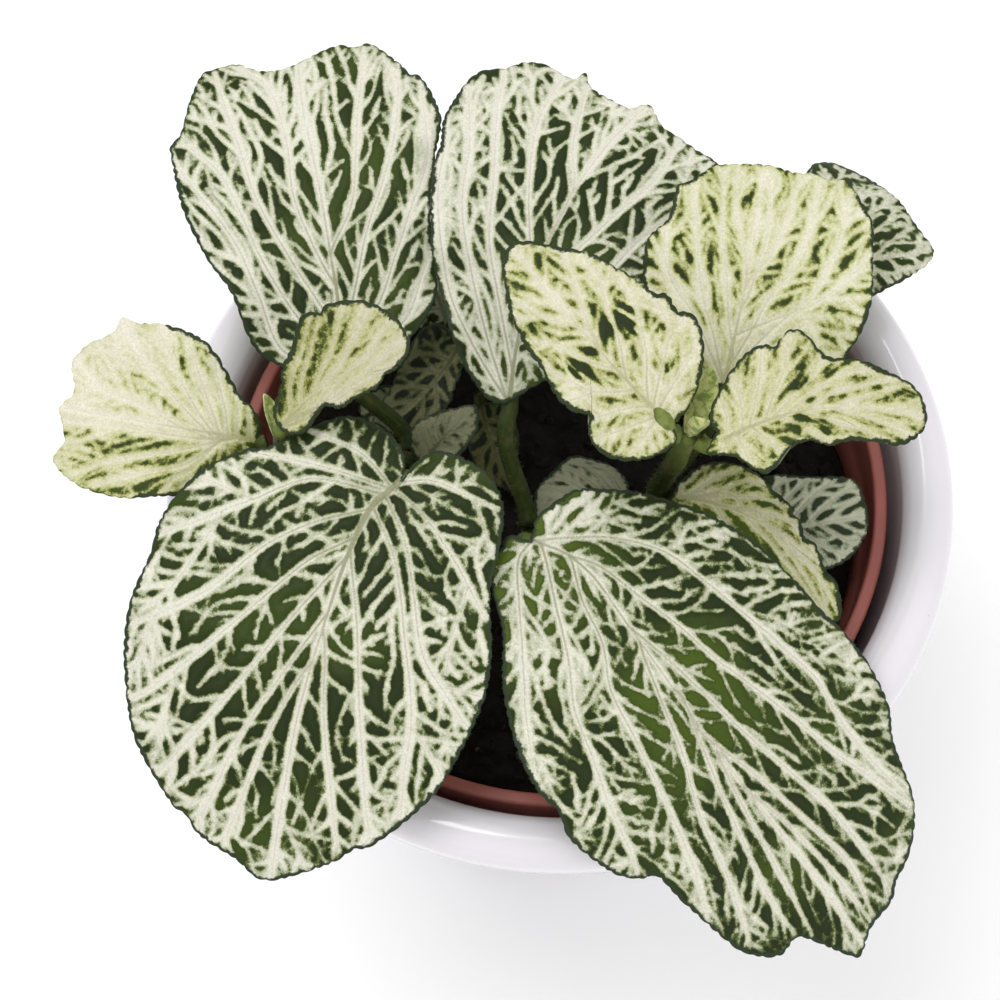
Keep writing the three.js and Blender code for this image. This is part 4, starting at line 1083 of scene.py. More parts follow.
    def paint_side(self, path):
        """Whitens a side vein, and gives its half widths."""
        wide = mixed(self.leaf.style["side"], self.zone.read(path[:, 0], path[:, 1]))
        wide = wide * self.rng.uniform(0.75, 1.25) * np.linspace(1.15, 0.65, len(path))
        self.fine.stamp_path(path, 2, wide)
        return wide

    def paint_spurs(self, paths, widths):
        """Short pointed spurs that fray the white along all veins."""
        rng = self.rng
        for path, wide in zip(paths, widths):
            for _ in range(int(len(path) * VEIN_STEP * self.leaf.style["spurs"])):
                i = rng.integers(1, len(path) - 1)
                outer = self.zone.at(path[i])
                hand = rng.choice((-1, 1))
                way = turned(unit(path[i + 1] - path[i - 1]), hand * rng.uniform(0.5, 1.0))
                long = wide[i] + 0.1 + min(rng.exponential(0.25 + 0.6 * outer), 2)
                b = path[i] + 0.6 * long * way
                c = b + 0.4 * long * turned(way, -hand * rng.uniform(0, 0.8))
                self.white.stamp(path[i], b, 0.2, 0.15, 0.6)
                self.white.stamp(b, c, 0.15, 0.0, 0.6)

    def fork(self, mains):
        """Side branches of the main veins wherever the green between them is wide."""
        leaf = self.leaf
        rng = self.rng
        near = self.chart(-20)
        for path in mains:
            near.stamp_path(path[::3], WIDE_OPEN)
        lean = math.radians(leaf.style["lean"][0]) * 0.8
        space = leaf.style["space"]
        born = []
        for path in mains:
            for side in (-1, 1):
                gap = rng.uniform(0, space)
                for i in range(4, len(path) - 6):
                    gap += VEIN_STEP
                    if gap < space:
                        continue
                    way = unit(path[i + 1] - path[i - 1])
                    probe = path[i] + space * 0.62 * turned(way, side * lean * 1.5)
                    if leaf.room(probe) < 1 or -near.read(*probe) < 0.5 * space:
                        continue
                    gap = rng.uniform(-0.2, 0.3) * space
                    branch = [path[i]]
                    heading = turned(way, side * lean)
                    for k in range(FORK_STEPS):
                        p = branch[-1] + VEIN_STEP * heading
                        if leaf.room(p) < 0.5 or (k > 7 and -near.read(*p) < 1.3):
                            break
                        branch.append(p)
                        heading = turned(heading, -side * 0.014 + rng.normal(0, 0.04))
                    if len(branch) > 7:
                        near.stamp_path(np.array(branch), WIDE_OPEN)
                        born.append(np.array(branch))
        return born

    def lay_near(self, mains):
        """Charts of how near the nearest main vein is, and of how close a place lies to the
        middle between two of them."""
        far = 90
        first = np.full(self.s.shape, far, np.float32)
        second = np.full(self.s.shape, far, np.float32)
        for path in mains:
            chart = self.chart(-far)
            chart.stamp_path(np.vstack([path[::3], path[-1:]]), WIDE_OPEN)
            gap = -chart.cells
            closer = gap < first
            second = np.where(closer, first, np.minimum(second, gap))
            first = np.where(closer, gap, first)
        self.near = self.like(np.clip(1 - first / NEAR_MAIN, 0, 1))
        self.mid = self.like(np.clip(first / np.clip(second, 0.3, 8), 0, 1))

    def main_paths(self):
        """The midrib's course first, then those of the other main veins."""
        spec = self.leaf.spec
        length = self.leaf.length
        if "rib" in spec:
            rib = spline(spec["rib"], False, 0.5)
        else:
            q = np.linspace(0.0, 0.95, 60)
            rib = np.stack([q * length, self.leaf.midrib(q)], 1)
        paths = [rib]
        if "veins" in spec:
            for vein in spec["veins"]:
                paths.append(spline([self.root(rib, vein)] + vein, False, 0.3))
            return paths
        for k in range(MAIN_PAIRS):
            for side in (-1, 1):
                q = 0.02 + 0.68 * ((k + 0.25 * (side + 1)) / MAIN_PAIRS) ** 1.25
                s = q * length
                p = np.array([s, rib_at(rib, s)])
                angle = side * math.radians(78 - 40 * k / MAIN_PAIRS)
                path = [p]
                for _ in range(120):
                    p = p + 0.5 * np.array([math.cos(angle), math.sin(angle)])
                    if self.leaf.room(p) < 1.2:
                        break
                    path.append(p)
                    angle *= 0.965
                if len(path) > 4:
                    paths.append(np.array(path))
        return paths

    def root(self, rib, vein):
        """Where a vein leaves the midrib: its own line carried back, though not too far."""
        p = np.array(vein[0], float)
        way = unit(np.array(vein[1], float) - p)
        side = p[1] - rib_at(rib, p[0])
        least = max(0.3, p[0] - 2.5 * abs(side))
        for _ in range(60):
            p = p - 0.25 * way
            off = (p[1] - rib_at(rib, p[0])) * side
            if off <= 0 or p[0] < least:
                break
        at = max(p[0], least)
        return [at, float(rib_at(rib, at))]

    def to_edge(self, path):
        """A main vein carried on until it meets the leaf's edge."""
        path = list(path)
        way = unit(path[-1] - path[-3])
        for _ in range(60):
            p = path[-1] + VEIN_STEP * way
            if self.leaf.room(p) < 0.4:
                break
            path.append(p)
            way = unit(way + self.rng.normal(0, 0.04, 2))
        return np.array(path)

    def paint_main(self, path, share_of_main, swell, room):
        """Whitens a main vein and draws its fine line, and gives its half widths."""
        style = self.leaf.style
        n = len(path)
        share = np.linspace(0, 1, n)
        zone = self.zone.read(path[:, 0], path[:, 1])
        wide = mixed(style["main"], np.clip(1.6 * share, 0, 1) * (0.25 + 0.75 * zone))
        wide = wide * (1 + 0.12 * swell(path[:, 0], path[:, 1])) * share_of_main
        left = (n - 1 - np.arange(n)) * VEIN_STEP
        wide = np.minimum(wide * np.clip(0.5 + left / 14, 0.5, 1), 0.3 + 0.27 * room)
        self.white.stamp_path(path, 4, wide)
        if share_of_main > 1:
            thin = np.interp(share, [0, 0.15, 0.4, 1], [1, 0.75, 0.3, 0.1]) * style["rib"]
        elif share_of_main < 1:
            thin = np.full(n, 0.03)
        else:
            thin = np.interp(share, [0, 0.35, 1], [0.14, 0.08, 0.02])
        self.line.stamp_path(path, 2, thin)
        return wide

# ---- Leaves --------------------------------------------------------------------------------------


def rings_for(count, size, reach, step):
    """Rings from the edge to the middle: (share of the way out, number of points)."""
    rings = [(1.0, count)]
    f = 1.0
    n = count
    while True:
        f -= step / reach
        if f < 0.4 * step / reach:
            break
        if n > 8 and n % 2 == 0 and size * f / n < 0.62 * step:
            n //= 2
        rings.append((f, n))
    return rings


def ring_faces(rings, upward):
    """Quads and triangles that join rings of full or half as many points, and the middle."""
    quads = []
    tris = []
    start = 0
    for (_, n), (_, m) in zip(rings[:-1], rings[1:]):
        inner = start + n
        k = np.arange(m)
        after = (k + 1) % m
        if m == n:
            quads.append(np.stack([start + k, start + after, inner + after, inner + k], 1))
        else:
            a = start + 2 * k
            b = start + 2 * k + 1
            c = start + (2 * k + 2) % n
            tris += [np.stack([inner + k, a, b], 1), np.stack([inner + k, b, inner + after], 1),
                     np.stack([inner + after, b, c], 1)]
        start = inner
    n = rings[-1][1]
    tris.append(fan(n, start, start + n))
    parts = [np.vstack(part) for part in (quads, tris) if part]
    return [part if upward else part[:, ::-1] for part in parts]


def sheet_places(leaf, rings):
    """Flat places and ring shares of every point of a sheet, the middle last."""
    count = len(leaf.edge)
    flats = []
    shares = []
    for f, n in rings:
        edge = leaf.edge[::count // n][:n]
        flats.append(leaf.centre + f * (edge - leaf.centre))
        shares.append(np.full(n, f))
    flats.append(leaf.centre[None, :])
    shares.append(np.zeros(1))
    flat = np.vstack(flats)
    return flat[:, 0], flat[:, 1], np.concatenate(shares)


def calm_share(veins, s, t):
    """How much relief a place has: none at the edge, all of it a little way inside."""
    return np.clip(-veins.margin.read(s, t) / EDGE_CALM, 0, 1)


def upper_lift(leaf, veins, s, t):
    """The quilted upper face: sunken veins and domed green between them."""
    main = np.maximum(-veins.line.read(s, t), 0)
    green = np.clip(0.25 - veins.white.read(s, t), 0, 3)
    dome = DOME * (1 - np.exp(-(green / 0.9) ** 2))
    groove = GROOVE * np.exp(-(main / 0.3) ** 2)
    calm = calm_share(veins, s, t)
    size = leaf.length / 50
    crepe = CREPE * leaf.crepe(s, t) + GRAIN * leaf.grain(s, t)
    return (dome * (0.6 + 0.4 * size) - groove + crepe) * calm + BLADE_HALF * (0.5 + 0.5 * calm)


def under_lift(veins, s, t):
    """The lower face: main veins stand out of it."""
    main = np.maximum(-veins.line.read(s, t), 0)
    calm = calm_share(veins, s, t)
    return -BLADE_HALF * (0.5 + 0.5 * calm) - RIDGE * np.exp(-(main / 0.6) ** 2) * calm


def stalk_path(leaf):
    """The stalk and the midrib under the blade: points, radii, and how many are the stalk's."""
    spec = leaf.spec
    thick = min(STALK_THICK, STALK_THIN + leaf.length * STALK_GAIN)
    lift = spec.get("rise", 0)
    shoot, index = NODES[spec["node"]]
    route = [over_rim(p) for p in SHOOTS[shoot]]
    node = route[index]
    up_stem = unit(route[min(index + 1, len(route) - 1)] - route[index - 1])
    foot = np.zeros(1)
    sink = min(0, leaf.height(foot, foot, leaf.ring_of(foot, foot))[0])
    end = leaf.base + leaf.normal * (-(thick - 0.05) + lift + sink)
    span = np.linalg.norm(end - node)
    drop = math.radians(spec["drop"])
    arrive = unit(leaf.along * math.cos(drop) + leaf.normal * math.sin(drop))
    if "leave" in spec:
        leave = unit(np.array(spec["leave"], float))
    else:
        leave = end - node
        leave = unit(leave - up_stem * (leave @ up_stem))
    radius = mixed((STEM_FOOT, STEM_TOP), (index + 1) / len(route))
    start = node + leave * (radius * SWELL + SEAT) - leave * DEEPER
    a = start + leave * span * 0.3
    b = end - arrive * span * 0.3
    u = np.linspace(0, 1, max(10, int(span / 0.8)))[:, None]
    points = list((1 - u) ** 3 * start + 3 * u * (1 - u) ** 2 * a
                  + 3 * u ** 2 * (1 - u) * b + u ** 3 * end)
    stalk_count = len(points)
    radii = [thick * (1 + 0.25 * math.exp(-k / 1.5)) for k in range(stalk_count)]
    steps = max(6, int(leaf.length / 3))
    for i in range(1, steps + 1):
        q = RIB_LENGTH * i / steps
        r = thick * (1 - RIB_TAPER * i / steps)
        s = np.array([q * leaf.length])
        t = np.array([leaf.midrib(q)])
        p = leaf.surface(s, t, np.minimum(leaf.ring_of(s, t), 1), np.zeros(1))
        fall = lift * max(0, 1 - q * leaf.length / 2.2)
        points.append(p[0] + leaf.normal * (-(r - 0.05) - 0.3 + fall))
        radii.append(r)
    return np.array(points), np.array(radii), stalk_count


def leaf_notes(leaf, veins, s, t, ring):
    """What the material reads at each point of the upper face: how far it lies inside the white,
    how near a main vein and its line are, the margin, the reach from the stalk, the yellow-green
    of painted light shining through the blade near the stalk and of its own tone in patches, and
    the share of painted shade."""
    spec = leaf.spec
    style = leaf.style
    along = s / leaf.length
    lumps = cloud(leaf.rng, leaf.low, leaf.high, LUMP_SIZE)
    specks = cloud(leaf.rng, leaf.low, leaf.high, SPECK_SIZE)
    outer = ring ** 1.6 * np.clip(4 * s / leaf.length, 0, 1)
    field = veins.white.read(s, t)
    field = field + style["patch"] * (lumps(s, t) * (0.4 + 0.8 * outer) + 0.4 * outer - 0.1)
    field = field + 0.4 * style["patch"] * specks(s, t)
    field = field + mixed(style["grow"], outer)
    for at_s, at_t, size, more in spec.get("spots", []):
        near_spot = np.exp(-((s - at_s) ** 2 + (t - at_t) ** 2) / size ** 2)
        field = field + more * near_spot * np.clip((0.7 - field) / 0.5, 0, 1)
    if "bias" in spec:
        near, far, left, right = spec["bias"]
        q = np.clip(along, 0, 1)
        u = np.clip(t / spec["width"], -1, 1)
        field = field + near * (1 - q) + far * q - left * np.minimum(u, 0)
        field = field + right * np.maximum(u, 0)
    bare = np.clip((along - spec.get("bare", 9)) / 0.08, 0, 1)
    tone = cloud(leaf.rng, leaf.low, leaf.high, TONE_SIZE)
    # the yellow-green near the stalk is painted light shining through the blade; the patches are the
    # blade's own tone
    stalk_glow, patch_tone = style["glow_and_tone"]
    middle = np.exp(-(t / (0.16 * leaf.length)) ** 2)
    glow_and_tone = stalk_glow * np.clip(1 - along / 0.6, 0, 1) * middle + patch_tone * tone(s, t)
    return {"vein": field, "near": veins.near.read(s, t), "line": veins.line.read(s, t),
            "margin": bare - veins.margin.read(s, t), "reach": along, "glow_and_tone": glow_and_tone,
            "dim": np.full(len(s), style["dim"])}


def make_leaf(spec, materials):
    """One leaf: blade, fringe of hairs, stalk and the stalk's hairs."""
    leaf = Leaf(spec)
    rng = leaf.rng
    veins = Veins(leaf)
    leaf.crepe = cloud(rng, leaf.low, leaf.high, CREPE_SIZE)
    leaf.grain = cloud(rng, leaf.low, leaf.high, GRAIN_SIZE)
    count = len(leaf.edge)
    reach = leaf.edge_radius.mean()
    top = rings_for(count, leaf.size, reach, leaf.step)
    low = rings_for(count, leaf.size, reach, UNDER_STEP)
    build = Builder()
    s, t, ring = sheet_places(leaf, top)
    upper = leaf.surface(s, t, ring, upper_lift(leaf, veins, s, t))
    build.add(upper, ring_faces(top, False))
    s2, t2, ring2 = sheet_places(leaf, low)
    lower = leaf.surface(s2, t2, ring2, under_lift(veins, s2, t2))
    start = build.add(lower, ring_faces(low, True), 1)
    # the narrow rim that joins both faces
    k = np.arange(count)
    after = (k + 1) % count
    rim = np.stack([k, after, start + after, start + k], 1)
    build.add(np.zeros((0, 3)), [rim - build.count])
    # the fringe of hairs along the edge
    pick = np.arange(0, count, 3)
    out = np.multiply.outer(leaf.edge_out[pick, 0], leaf.along)
    out = out + np.multiply.outer(leaf.edge_out[pick, 1], leaf.side)
    roots = (upper[pick] + lower[pick]) / 2 - out * 0.05
    ways = out + rng.normal(0, 0.45, out.shape)
    build.add(*hairs(roots, ways, rng.uniform(*FRINGE_HAIR, len(pick))), 3)
    stalk, radii, bare = stalk_path(leaf)
    build.add(*tube(stalk, radii, STALK_SIDES), 2)
    build.add(*stem_hairs(rng, stalk[:bare], radii[:bare], STALK_HAIRS), 3)
    mesh = build.mesh(spec["name"])
    rest = build.count - len(upper)
    for name, values in leaf_notes(leaf, veins, s, t, ring).items():
        filler = NO_VEIN if name == "line" else 0.0
        note(mesh, name, np.concatenate([values, np.full(rest, filler)]))
    slot = "pale_leaf" if spec["style"] == "pale" else "dark_leaf"
    return place("fine_" + spec["name"], mesh, materials, slot, spec["name"])


def stem_hairs(rng, path, radii, density):
    """Hairs all round a stem or stalk, density to a millimetre of its length."""
    size = np.linalg.norm(np.diff(path, axis=0), axis=1).sum()
    count = max(1, int(size * density))
    at = rng.uniform(0, len(path) - 1.001, count)
    i = at.astype(int)
    share = (at - i)[:, None]
    spine = path[i] * (1 - share) + path[i + 1] * share
    along = units(path[i + 1] - path[i])
    away = rng.normal(0, 1, (count, 3))
    away = units(away - along * (away * along).sum(1)[:, None])
    thick = radii[i] * (1 - share[:, 0]) + radii[i + 1] * share[:, 0]
    ways = away + along * rng.uniform(-0.2, 0.6, (count, 1))
    return hairs(spine + away * (thick * 0.97)[:, None], ways, rng.uniform(*STEM_HAIR, count))


# ---- Stems ---------------------------------------------------------------------------------------


def bud(start, end, wide):
    """A folded young leaf: a trough that widens and closes again."""
    start = np.array(start, float)
    end = np.array(end, float)
    along = unit(end - start)
    across = unit(np.cross(along, [0.3, 0.2, 1.0]))
    up = np.cross(across, along)
    size = np.linalg.norm(end - start)
    rows = []
    side = np.linspace(-1, 1, 11)
    for i in range(BUD_STEPS + 1):
        u = i / BUD_STEPS
        w = wide * 1.25 * math.sin(math.pi * min(1, 0.1 + 0.9 * u) ** 1.1) ** 0.7 + 0.12
        w *= 1 + 0.06 * math.sin(9 * u + 1)
        middle = start + along * size * u
        for sheet, lower in ((side, 0), (side[::-1], BUD_THICK)):
            for v in sheet:
                rise = 0.75 * w * abs(v) ** 1.3 - 0.3 * w - lower
                rows.append(middle + across * (v * w * 0.8) + up * rise)
    rows = np.array(rows)
    n = 2 * len(side)
    ends = [rows[:n].mean(0), rows[-n:].mean(0)]
    return np.vstack([rows, ends]), closed_rings(n, BUD_STEPS + 1)


def make_stem(shoot, materials):
    """One stem with its thicker nodes, its hairs and the young leaves at its end."""
    rng = np.random.default_rng(len(shoot) * 7 + 3)
    route = [over_rim(p) for p in SHOOTS[shoot]]
    foot = route[0].copy()
    foot[2] = SOIL_TOP - HOLE_DEPTH + GAP
    path = even(spline([foot] + route, False, 0.5), False, step=0.6)
    radii = mixed((STEM_FOOT, STEM_TOP), np.linspace(0, 1, len(path)))
    for p in route[1:]:
        d = np.linalg.norm(path - p, axis=1)
        radii = radii * (1 + 0.16 * np.exp(-(d / 1.3) ** 2))
    radii = radii * (1 + 0.02 * np.sin(np.arange(len(path)) * 1.7))
    build = Builder()
    build.add(*tube(path, radii, STEM_SIDES))
    top = path[path[:, 2] > SOIL_TOP + 1.5]
    build.add(*stem_hairs(rng, top, radii[-len(top):], STEM_HAIRS), 1)
    for to, wide in YOUNG[shoot]:
        build.add(*bud(route[-1], over_rim(to), wide), 2)
    name = STEM_NODES[shoot]
    return place("fine_" + name, build.mesh(name), materials, "stem", name)


# ---- Pots and soil -------------------------------------------------------------------------------


def turned_points(line, sides):
    """Rings of points round the upright axis, one for each [radius, height] of the line."""
    angle = around(sides)
    rows = np.zeros((len(line), sides, 3))
    rows[:, :, 0] = np.cos(angle) * line[:, :1]
    rows[:, :, 1] = np.sin(angle) * line[:, :1]
    rows[:, :, 2] = line[:, 1:]
    return rows.reshape(-1, 3)


def lathe(profile, sides):
    """A closed turned solid from a profile that starts and ends on the axis."""
    profile = np.array(profile, float)
    ends = [[0, 0, profile[0, 1]], [0, 0, profile[-1, 1]]]
    rows = turned_points(profile[1:-1], sides)
    return np.vstack([rows, ends]), closed_rings(sides, len(profile) - 2)


def arc(centre, radii, start, end, steps):
    """Points along part of an ellipse, from one angle to another in degrees."""
    angle = np.radians(np.linspace(start, end, steps + 1))
    return [[centre[0] + radii[0] * math.cos(a), centre[1] + radii[1] * math.sin(a)]
            for a in angle]


def between(a, b, steps):
    """Points after a up to b, evenly spaced."""
    return [[a[0] + (b[0] - a[0]) * k / steps, a[1] + (b[1] - a[1]) * k / steps]
            for k in range(1, steps + 1)]


def make_cover_pot(material):
    """The white cover pot, turned from its profile: foot, wall, rolled lip and inside."""
    under_lip = COVER_HEIGHT - LIP_HEIGHT
    wall_top = COVER_MOUTH + COVER_WALL
    foot = arc([COVER_FOOT - FOOT_ROUND, FOOT_ROUND], [FOOT_ROUND, FOOT_ROUND], -90, -10, 8)
    wall = between(foot[-1], [wall_top, under_lip - 2.5], 30)
    profile = [[0, 0], *between([0, 0], [COVER_FOOT - FOOT_ROUND, 0], 4)[:-1], *foot, *wall,
               [wall_top + 0.5, under_lip - 1.7], [wall_top + 1.2, under_lip - 0.6],
               [wall_top + 2.1, under_lip + 0.7], [COVER_RADIUS - 0.4, under_lip + 1.9],
               *arc([COVER_MOUTH + LIP_HALF, RIM_LEVEL], [LIP_HALF, LIP_HALF], 0, 180, 28),
               [COVER_MOUTH, under_lip]]
    inner = arc([COVER_FOOT - COVER_WALL - 2, COVER_FLOOR + FLOOR_ROUND],
                [FLOOR_ROUND, FLOOR_ROUND], 0, -90, 8)
    profile += between([COVER_MOUTH, under_lip], inner[0], 20) + inner[1:]
    profile += [[12, COVER_FLOOR], [0, COVER_FLOOR]]
    build = Builder()
    build.add(*lathe(profile, COVER_SIDES))
    return place("fine_cover_pot", build.mesh("cover_pot"), [material], "cover_pot", "cover_pot")


def make_nursery_pot(material):
    """The red nursery pot: its wall and collar turned, its drained floor stitched in."""
    floor = COVER_FLOOR + GAP
    under = POT_TOP - COLLAR_HEIGHT
    wall_out = POT_RADIUS - COLLAR_STEP
    wall_in = wall_out - POT_WALL
    inside = POT_RADIUS - POT_WALL
    edge = POT_TOP - COLLAR_ROUND
    rounding = [COLLAR_ROUND, COLLAR_ROUND]
    profile = [[POT_BASE_RADIUS - 0.8, floor], [POT_BASE_RADIUS - 0.2, floor + 0.25],
               [POT_BASE_RADIUS, floor + 0.8],
               *between([POT_BASE_RADIUS, floor + 0.8], [wall_out, under - 1], 16),
               [wall_out + 0.3, under - 0.5], [POT_RADIUS - 0.2, under - 0.1],
               [POT_RADIUS, under + 0.3],
               *between([POT_RADIUS, under + 0.3], [POT_RADIUS, edge], 4),
               *arc([POT_RADIUS - COLLAR_ROUND, edge], rounding, 15, 90, 5),
               *arc([inside - 0.1, edge], rounding, 90, 180, 6),
               *between([inside - 0.6, edge], [inside - 0.6, under + 0.6], 4),
               *between([inside - 0.6, under + 0.6], [wall_in, under - 0.6], 2),
               *between([wall_in, under - 0.6],
                        [POT_BASE_RADIUS - POT_WALL, floor + POT_FLOOR], 16)]
    line = np.array(profile)
    build = Builder()
    build.add(turned_points(line, POT_SIDES), [ring_quads(POT_SIDES, len(line))])
    build.add(*drained_floor(line[0], line[-1], POT_SIDES))
    mesh = build.mesh("nursery_pot")
    join_close(mesh)
    return place("fine_nursery_pot", mesh, [material], "nursery_pot", "nursery_pot")


def drained_floor(outer, inner, sides):
    """The pot's floor: a plate with a ring of round holes, with its under side, its upper side
    and the holes' walls. outer and inner are [radius, height]."""
    per = sides // DRAIN_COUNT
    rows = []
    faces = []
    levels = []
    for (radius, z), up in ((outer, False), (inner, True)):
        base = len(rows)
        rows += [[radius * math.cos(a), radius * math.sin(a), z] for a in around(sides)]
        middle = len(rows)
        rows.append([0, 0, z])
        holes = []
        for h in range(DRAIN_COUNT):
            at = h / DRAIN_COUNT * 2 * math.pi
            x = DRAIN_CIRCLE * math.cos(at)
            y = DRAIN_CIRCLE * math.sin(at)
            holes.append(list(range(len(rows), len(rows) + per)))
            for j in range(per):
                a = at + (j + 0.5) / per * 2 * math.pi
                rows.append([x + DRAIN_RADIUS * math.cos(a), y + DRAIN_RADIUS * math.sin(a), z])
        # spokes between the holes part the plate into one sector for each hole
        spokes = []
        for h in range(DRAIN_COUNT):
            a = (h - 0.5) / DRAIN_COUNT * 2 * math.pi
            spokes.append(len(rows))
            rows.append([DRAIN_CIRCLE * math.cos(a), DRAIN_CIRCLE * math.sin(a), z])
        for h, ring in enumerate(holes):
            rim = [base + (h * per + j - per // 2) % sides for j in range(per + 1)]
            border = [middle, spokes[h]] + rim + [spokes[(h + 1) % DRAIN_COUNT]]
            faces += stitch(rows, border, ring, up)
        levels.append(holes)
    for low, high in zip(*levels):
        for j in range(per):
            k = (j + 1) % per
            faces += [[low[j], low[k], high[k]], [low[j], high[k], high[j]]]
    return np.array(rows, float), [np.array(faces)]


def stitch(rows, border, ring, up):
    """Triangles between a closed border and the round hole inside it."""
    centre = np.mean([rows[i] for i in ring], axis=0)

    def bearing(i):
        return math.atan2(rows[i][1] - centre[1], rows[i][0] - centre[0])

    def next_bearing(line, i):
        whole_turn = 2 * math.pi if i + 1 >= len(line) else 0
        return bearing(line[(i + 1) % len(line)]) + whole_turn

    outer = sorted(border, key=bearing)
    inner = sorted(ring, key=bearing)
    i = j = 0
    out = []
    while i < len(outer) or j < len(inner):
        a = outer[i % len(outer)]
        b = inner[j % len(inner)]
        outer_first = next_bearing(outer, i) <= next_bearing(inner, j)
        if i < len(outer) and (j >= len(inner) or outer_first):
            i += 1
            out.append([a, outer[i % len(outer)], b])
        else:
            j += 1
            out.append([a, inner[j % len(inner)], b])
    return out if up else [[f[0], f[2], f[1]] for f in out]


def join_close(mesh):
    """Joins points that lie on each other and turns all faces outward."""
    work = bmesh.new()
    work.from_mesh(mesh)
    bmesh.ops.remove_doubles(work, verts=work.verts, dist=0.01 * MM)
    bmesh.ops.recalc_face_normals(work, faces=work.faces)
    work.to_mesh(mesh)
    work.free()


def soil_height(x, y):
    """The soil's uneven top at a flat place."""
    lumps = np.sin(x * 0.43 + 1.3) * np.sin(y * 0.39 + 0.4)
    clods = np.sin(x * 0.83 + y * 0.57) * np.cos(y * 0.71 - x * 0.29)
    return SOIL_TOP + SOIL_LUMP * (0.6 * lumps + 0.4 * clods)


def make_soil(materials):
    """The soil in the nursery pot: a rough top, a smooth wall and floor, and loose crumbs."""
    rng = np.random.default_rng(11)
    floor = COVER_FLOOR + GAP + POT_FLOOR
    under = POT_TOP - COLLAR_HEIGHT
    wall_in = POT_RADIUS - COLLAR_STEP - POT_WALL
    slope = (wall_in - POT_BASE_RADIUS + POT_WALL) / (under - 0.6 - floor)

    def inside(z):
        """The soil's radius at a height: the pot's inner one, less a small gap."""
        return POT_BASE_RADIUS - POT_WALL + (z - floor) * slope - GAP * 1.6

    rim = inside(SOIL_TOP - 1)
    corners = [-SOIL_REACH, -SOIL_REACH], [SOIL_REACH, SOIL_REACH]
    fine = cloud(rng, *corners, 1.3)
    coarse = cloud(rng, *corners, 4.0)
    angle = around(SOIL_SIDES)
    rows = []
    for k in range(SOIL_RINGS, 0, -1):
        r = rim * k / SOIL_RINGS
        x = r * np.cos(angle)
        y = r * np.sin(angle)
        z = soil_height(x, y) + SOIL_COARSE * coarse(x, y) + SOIL_FINE * fine(x, y)
        z = z - SLUMP_DEPTH * np.clip((r - rim + SLUMP_WIDTH) / SLUMP_WIDTH, 0, 1) ** 2
        rows.append(np.stack([x, y, z], 1))
    edge = rows[0]
    rows.append(np.array([[0, 0, soil_height(0, 0)]]))
    size = SOIL_RINGS * SOIL_SIDES
    build = Builder()
    build.add(np.vstack(rows), [ring_quads(SOIL_SIDES, SOIL_RINGS),
                                fan(SOIL_SIDES, size - SOIL_SIDES, size)])
    walls = [edge]
    bottom = floor + GAP
    for u in np.linspace(0, 1, WALL_RINGS)[1:]:
        z = edge[:, 2] * (1 - u) + bottom * u
        r = inside(z)
        walls.append(np.stack([r * np.cos(angle), r * np.sin(angle), z], 1))
    walls.append(np.array([[0, 0, bottom]]))
    size = WALL_RINGS * SOIL_SIDES
    build.add(np.vstack(walls), [ring_quads(SOIL_SIDES, WALL_RINGS)[:, ::-1],
                                 fan(SOIL_SIDES, size - SOIL_SIDES, size, True)])
    # crumbs: small angular lumps that lie on the soil
    ball_points, ball_faces = crumb_ball()
    for _ in range(CRUMB_COUNT):
        r = rim * math.sqrt(rng.random()) * 0.96
        a = rng.uniform(0, 2 * math.pi)
        size = rng.uniform(*CRUMB_SIZE) * rng.choice([0.6, 1, 1.3])
        x, y = r * math.cos(a), r * math.sin(a)
        shape = ball_points * rng.uniform(0.6, 1.2, 3) * size
        shape = shape * (1 + rng.normal(0, 0.13, (len(ball_points), 1)))
        turn = rng.uniform(0, 2 * math.pi)
        c, s = math.cos(turn), math.sin(turn)
        shape = shape @ np.array([[c, s, 0], [-s, c, 0], [0, 0, 1]])
        z = float(soil_height(x, y) + SOIL_COARSE * coarse(np.array([x]), np.array([y]))[0])
        pale = int(rng.random() < PALE_CRUMBS)
        build.add(shape + [x, y, z + size * 0.25], [ball_faces], pale)
    mesh = build.mesh("soil", smooth=False)
    return place("fine_soil", mesh, materials, "soil", "soil")


def crumb_ball():
    """A ball of 42 points for crumbs."""
    work = bmesh.new()
    bmesh.ops.create_icosphere(work, subdivisions=2, radius=1)
    points = np.array([v.co[:] for v in work.verts])
    faces = np.array([[v.index for v in f.verts] for f in work.faces])
    work.free()
    return points, faces


# ---- Materials -----------------------------------------------------------------------------------


def linear(r, g, b):
    """Shader colour from the 0-255 values seen on screen."""
    out = []
    for c in (r, g, b):
        c = c / 255
        out.append(c / 12.92 if c <= 0.04045 else ((c + 0.055) / 1.055) ** 2.4)
    return (*out, 1.0)


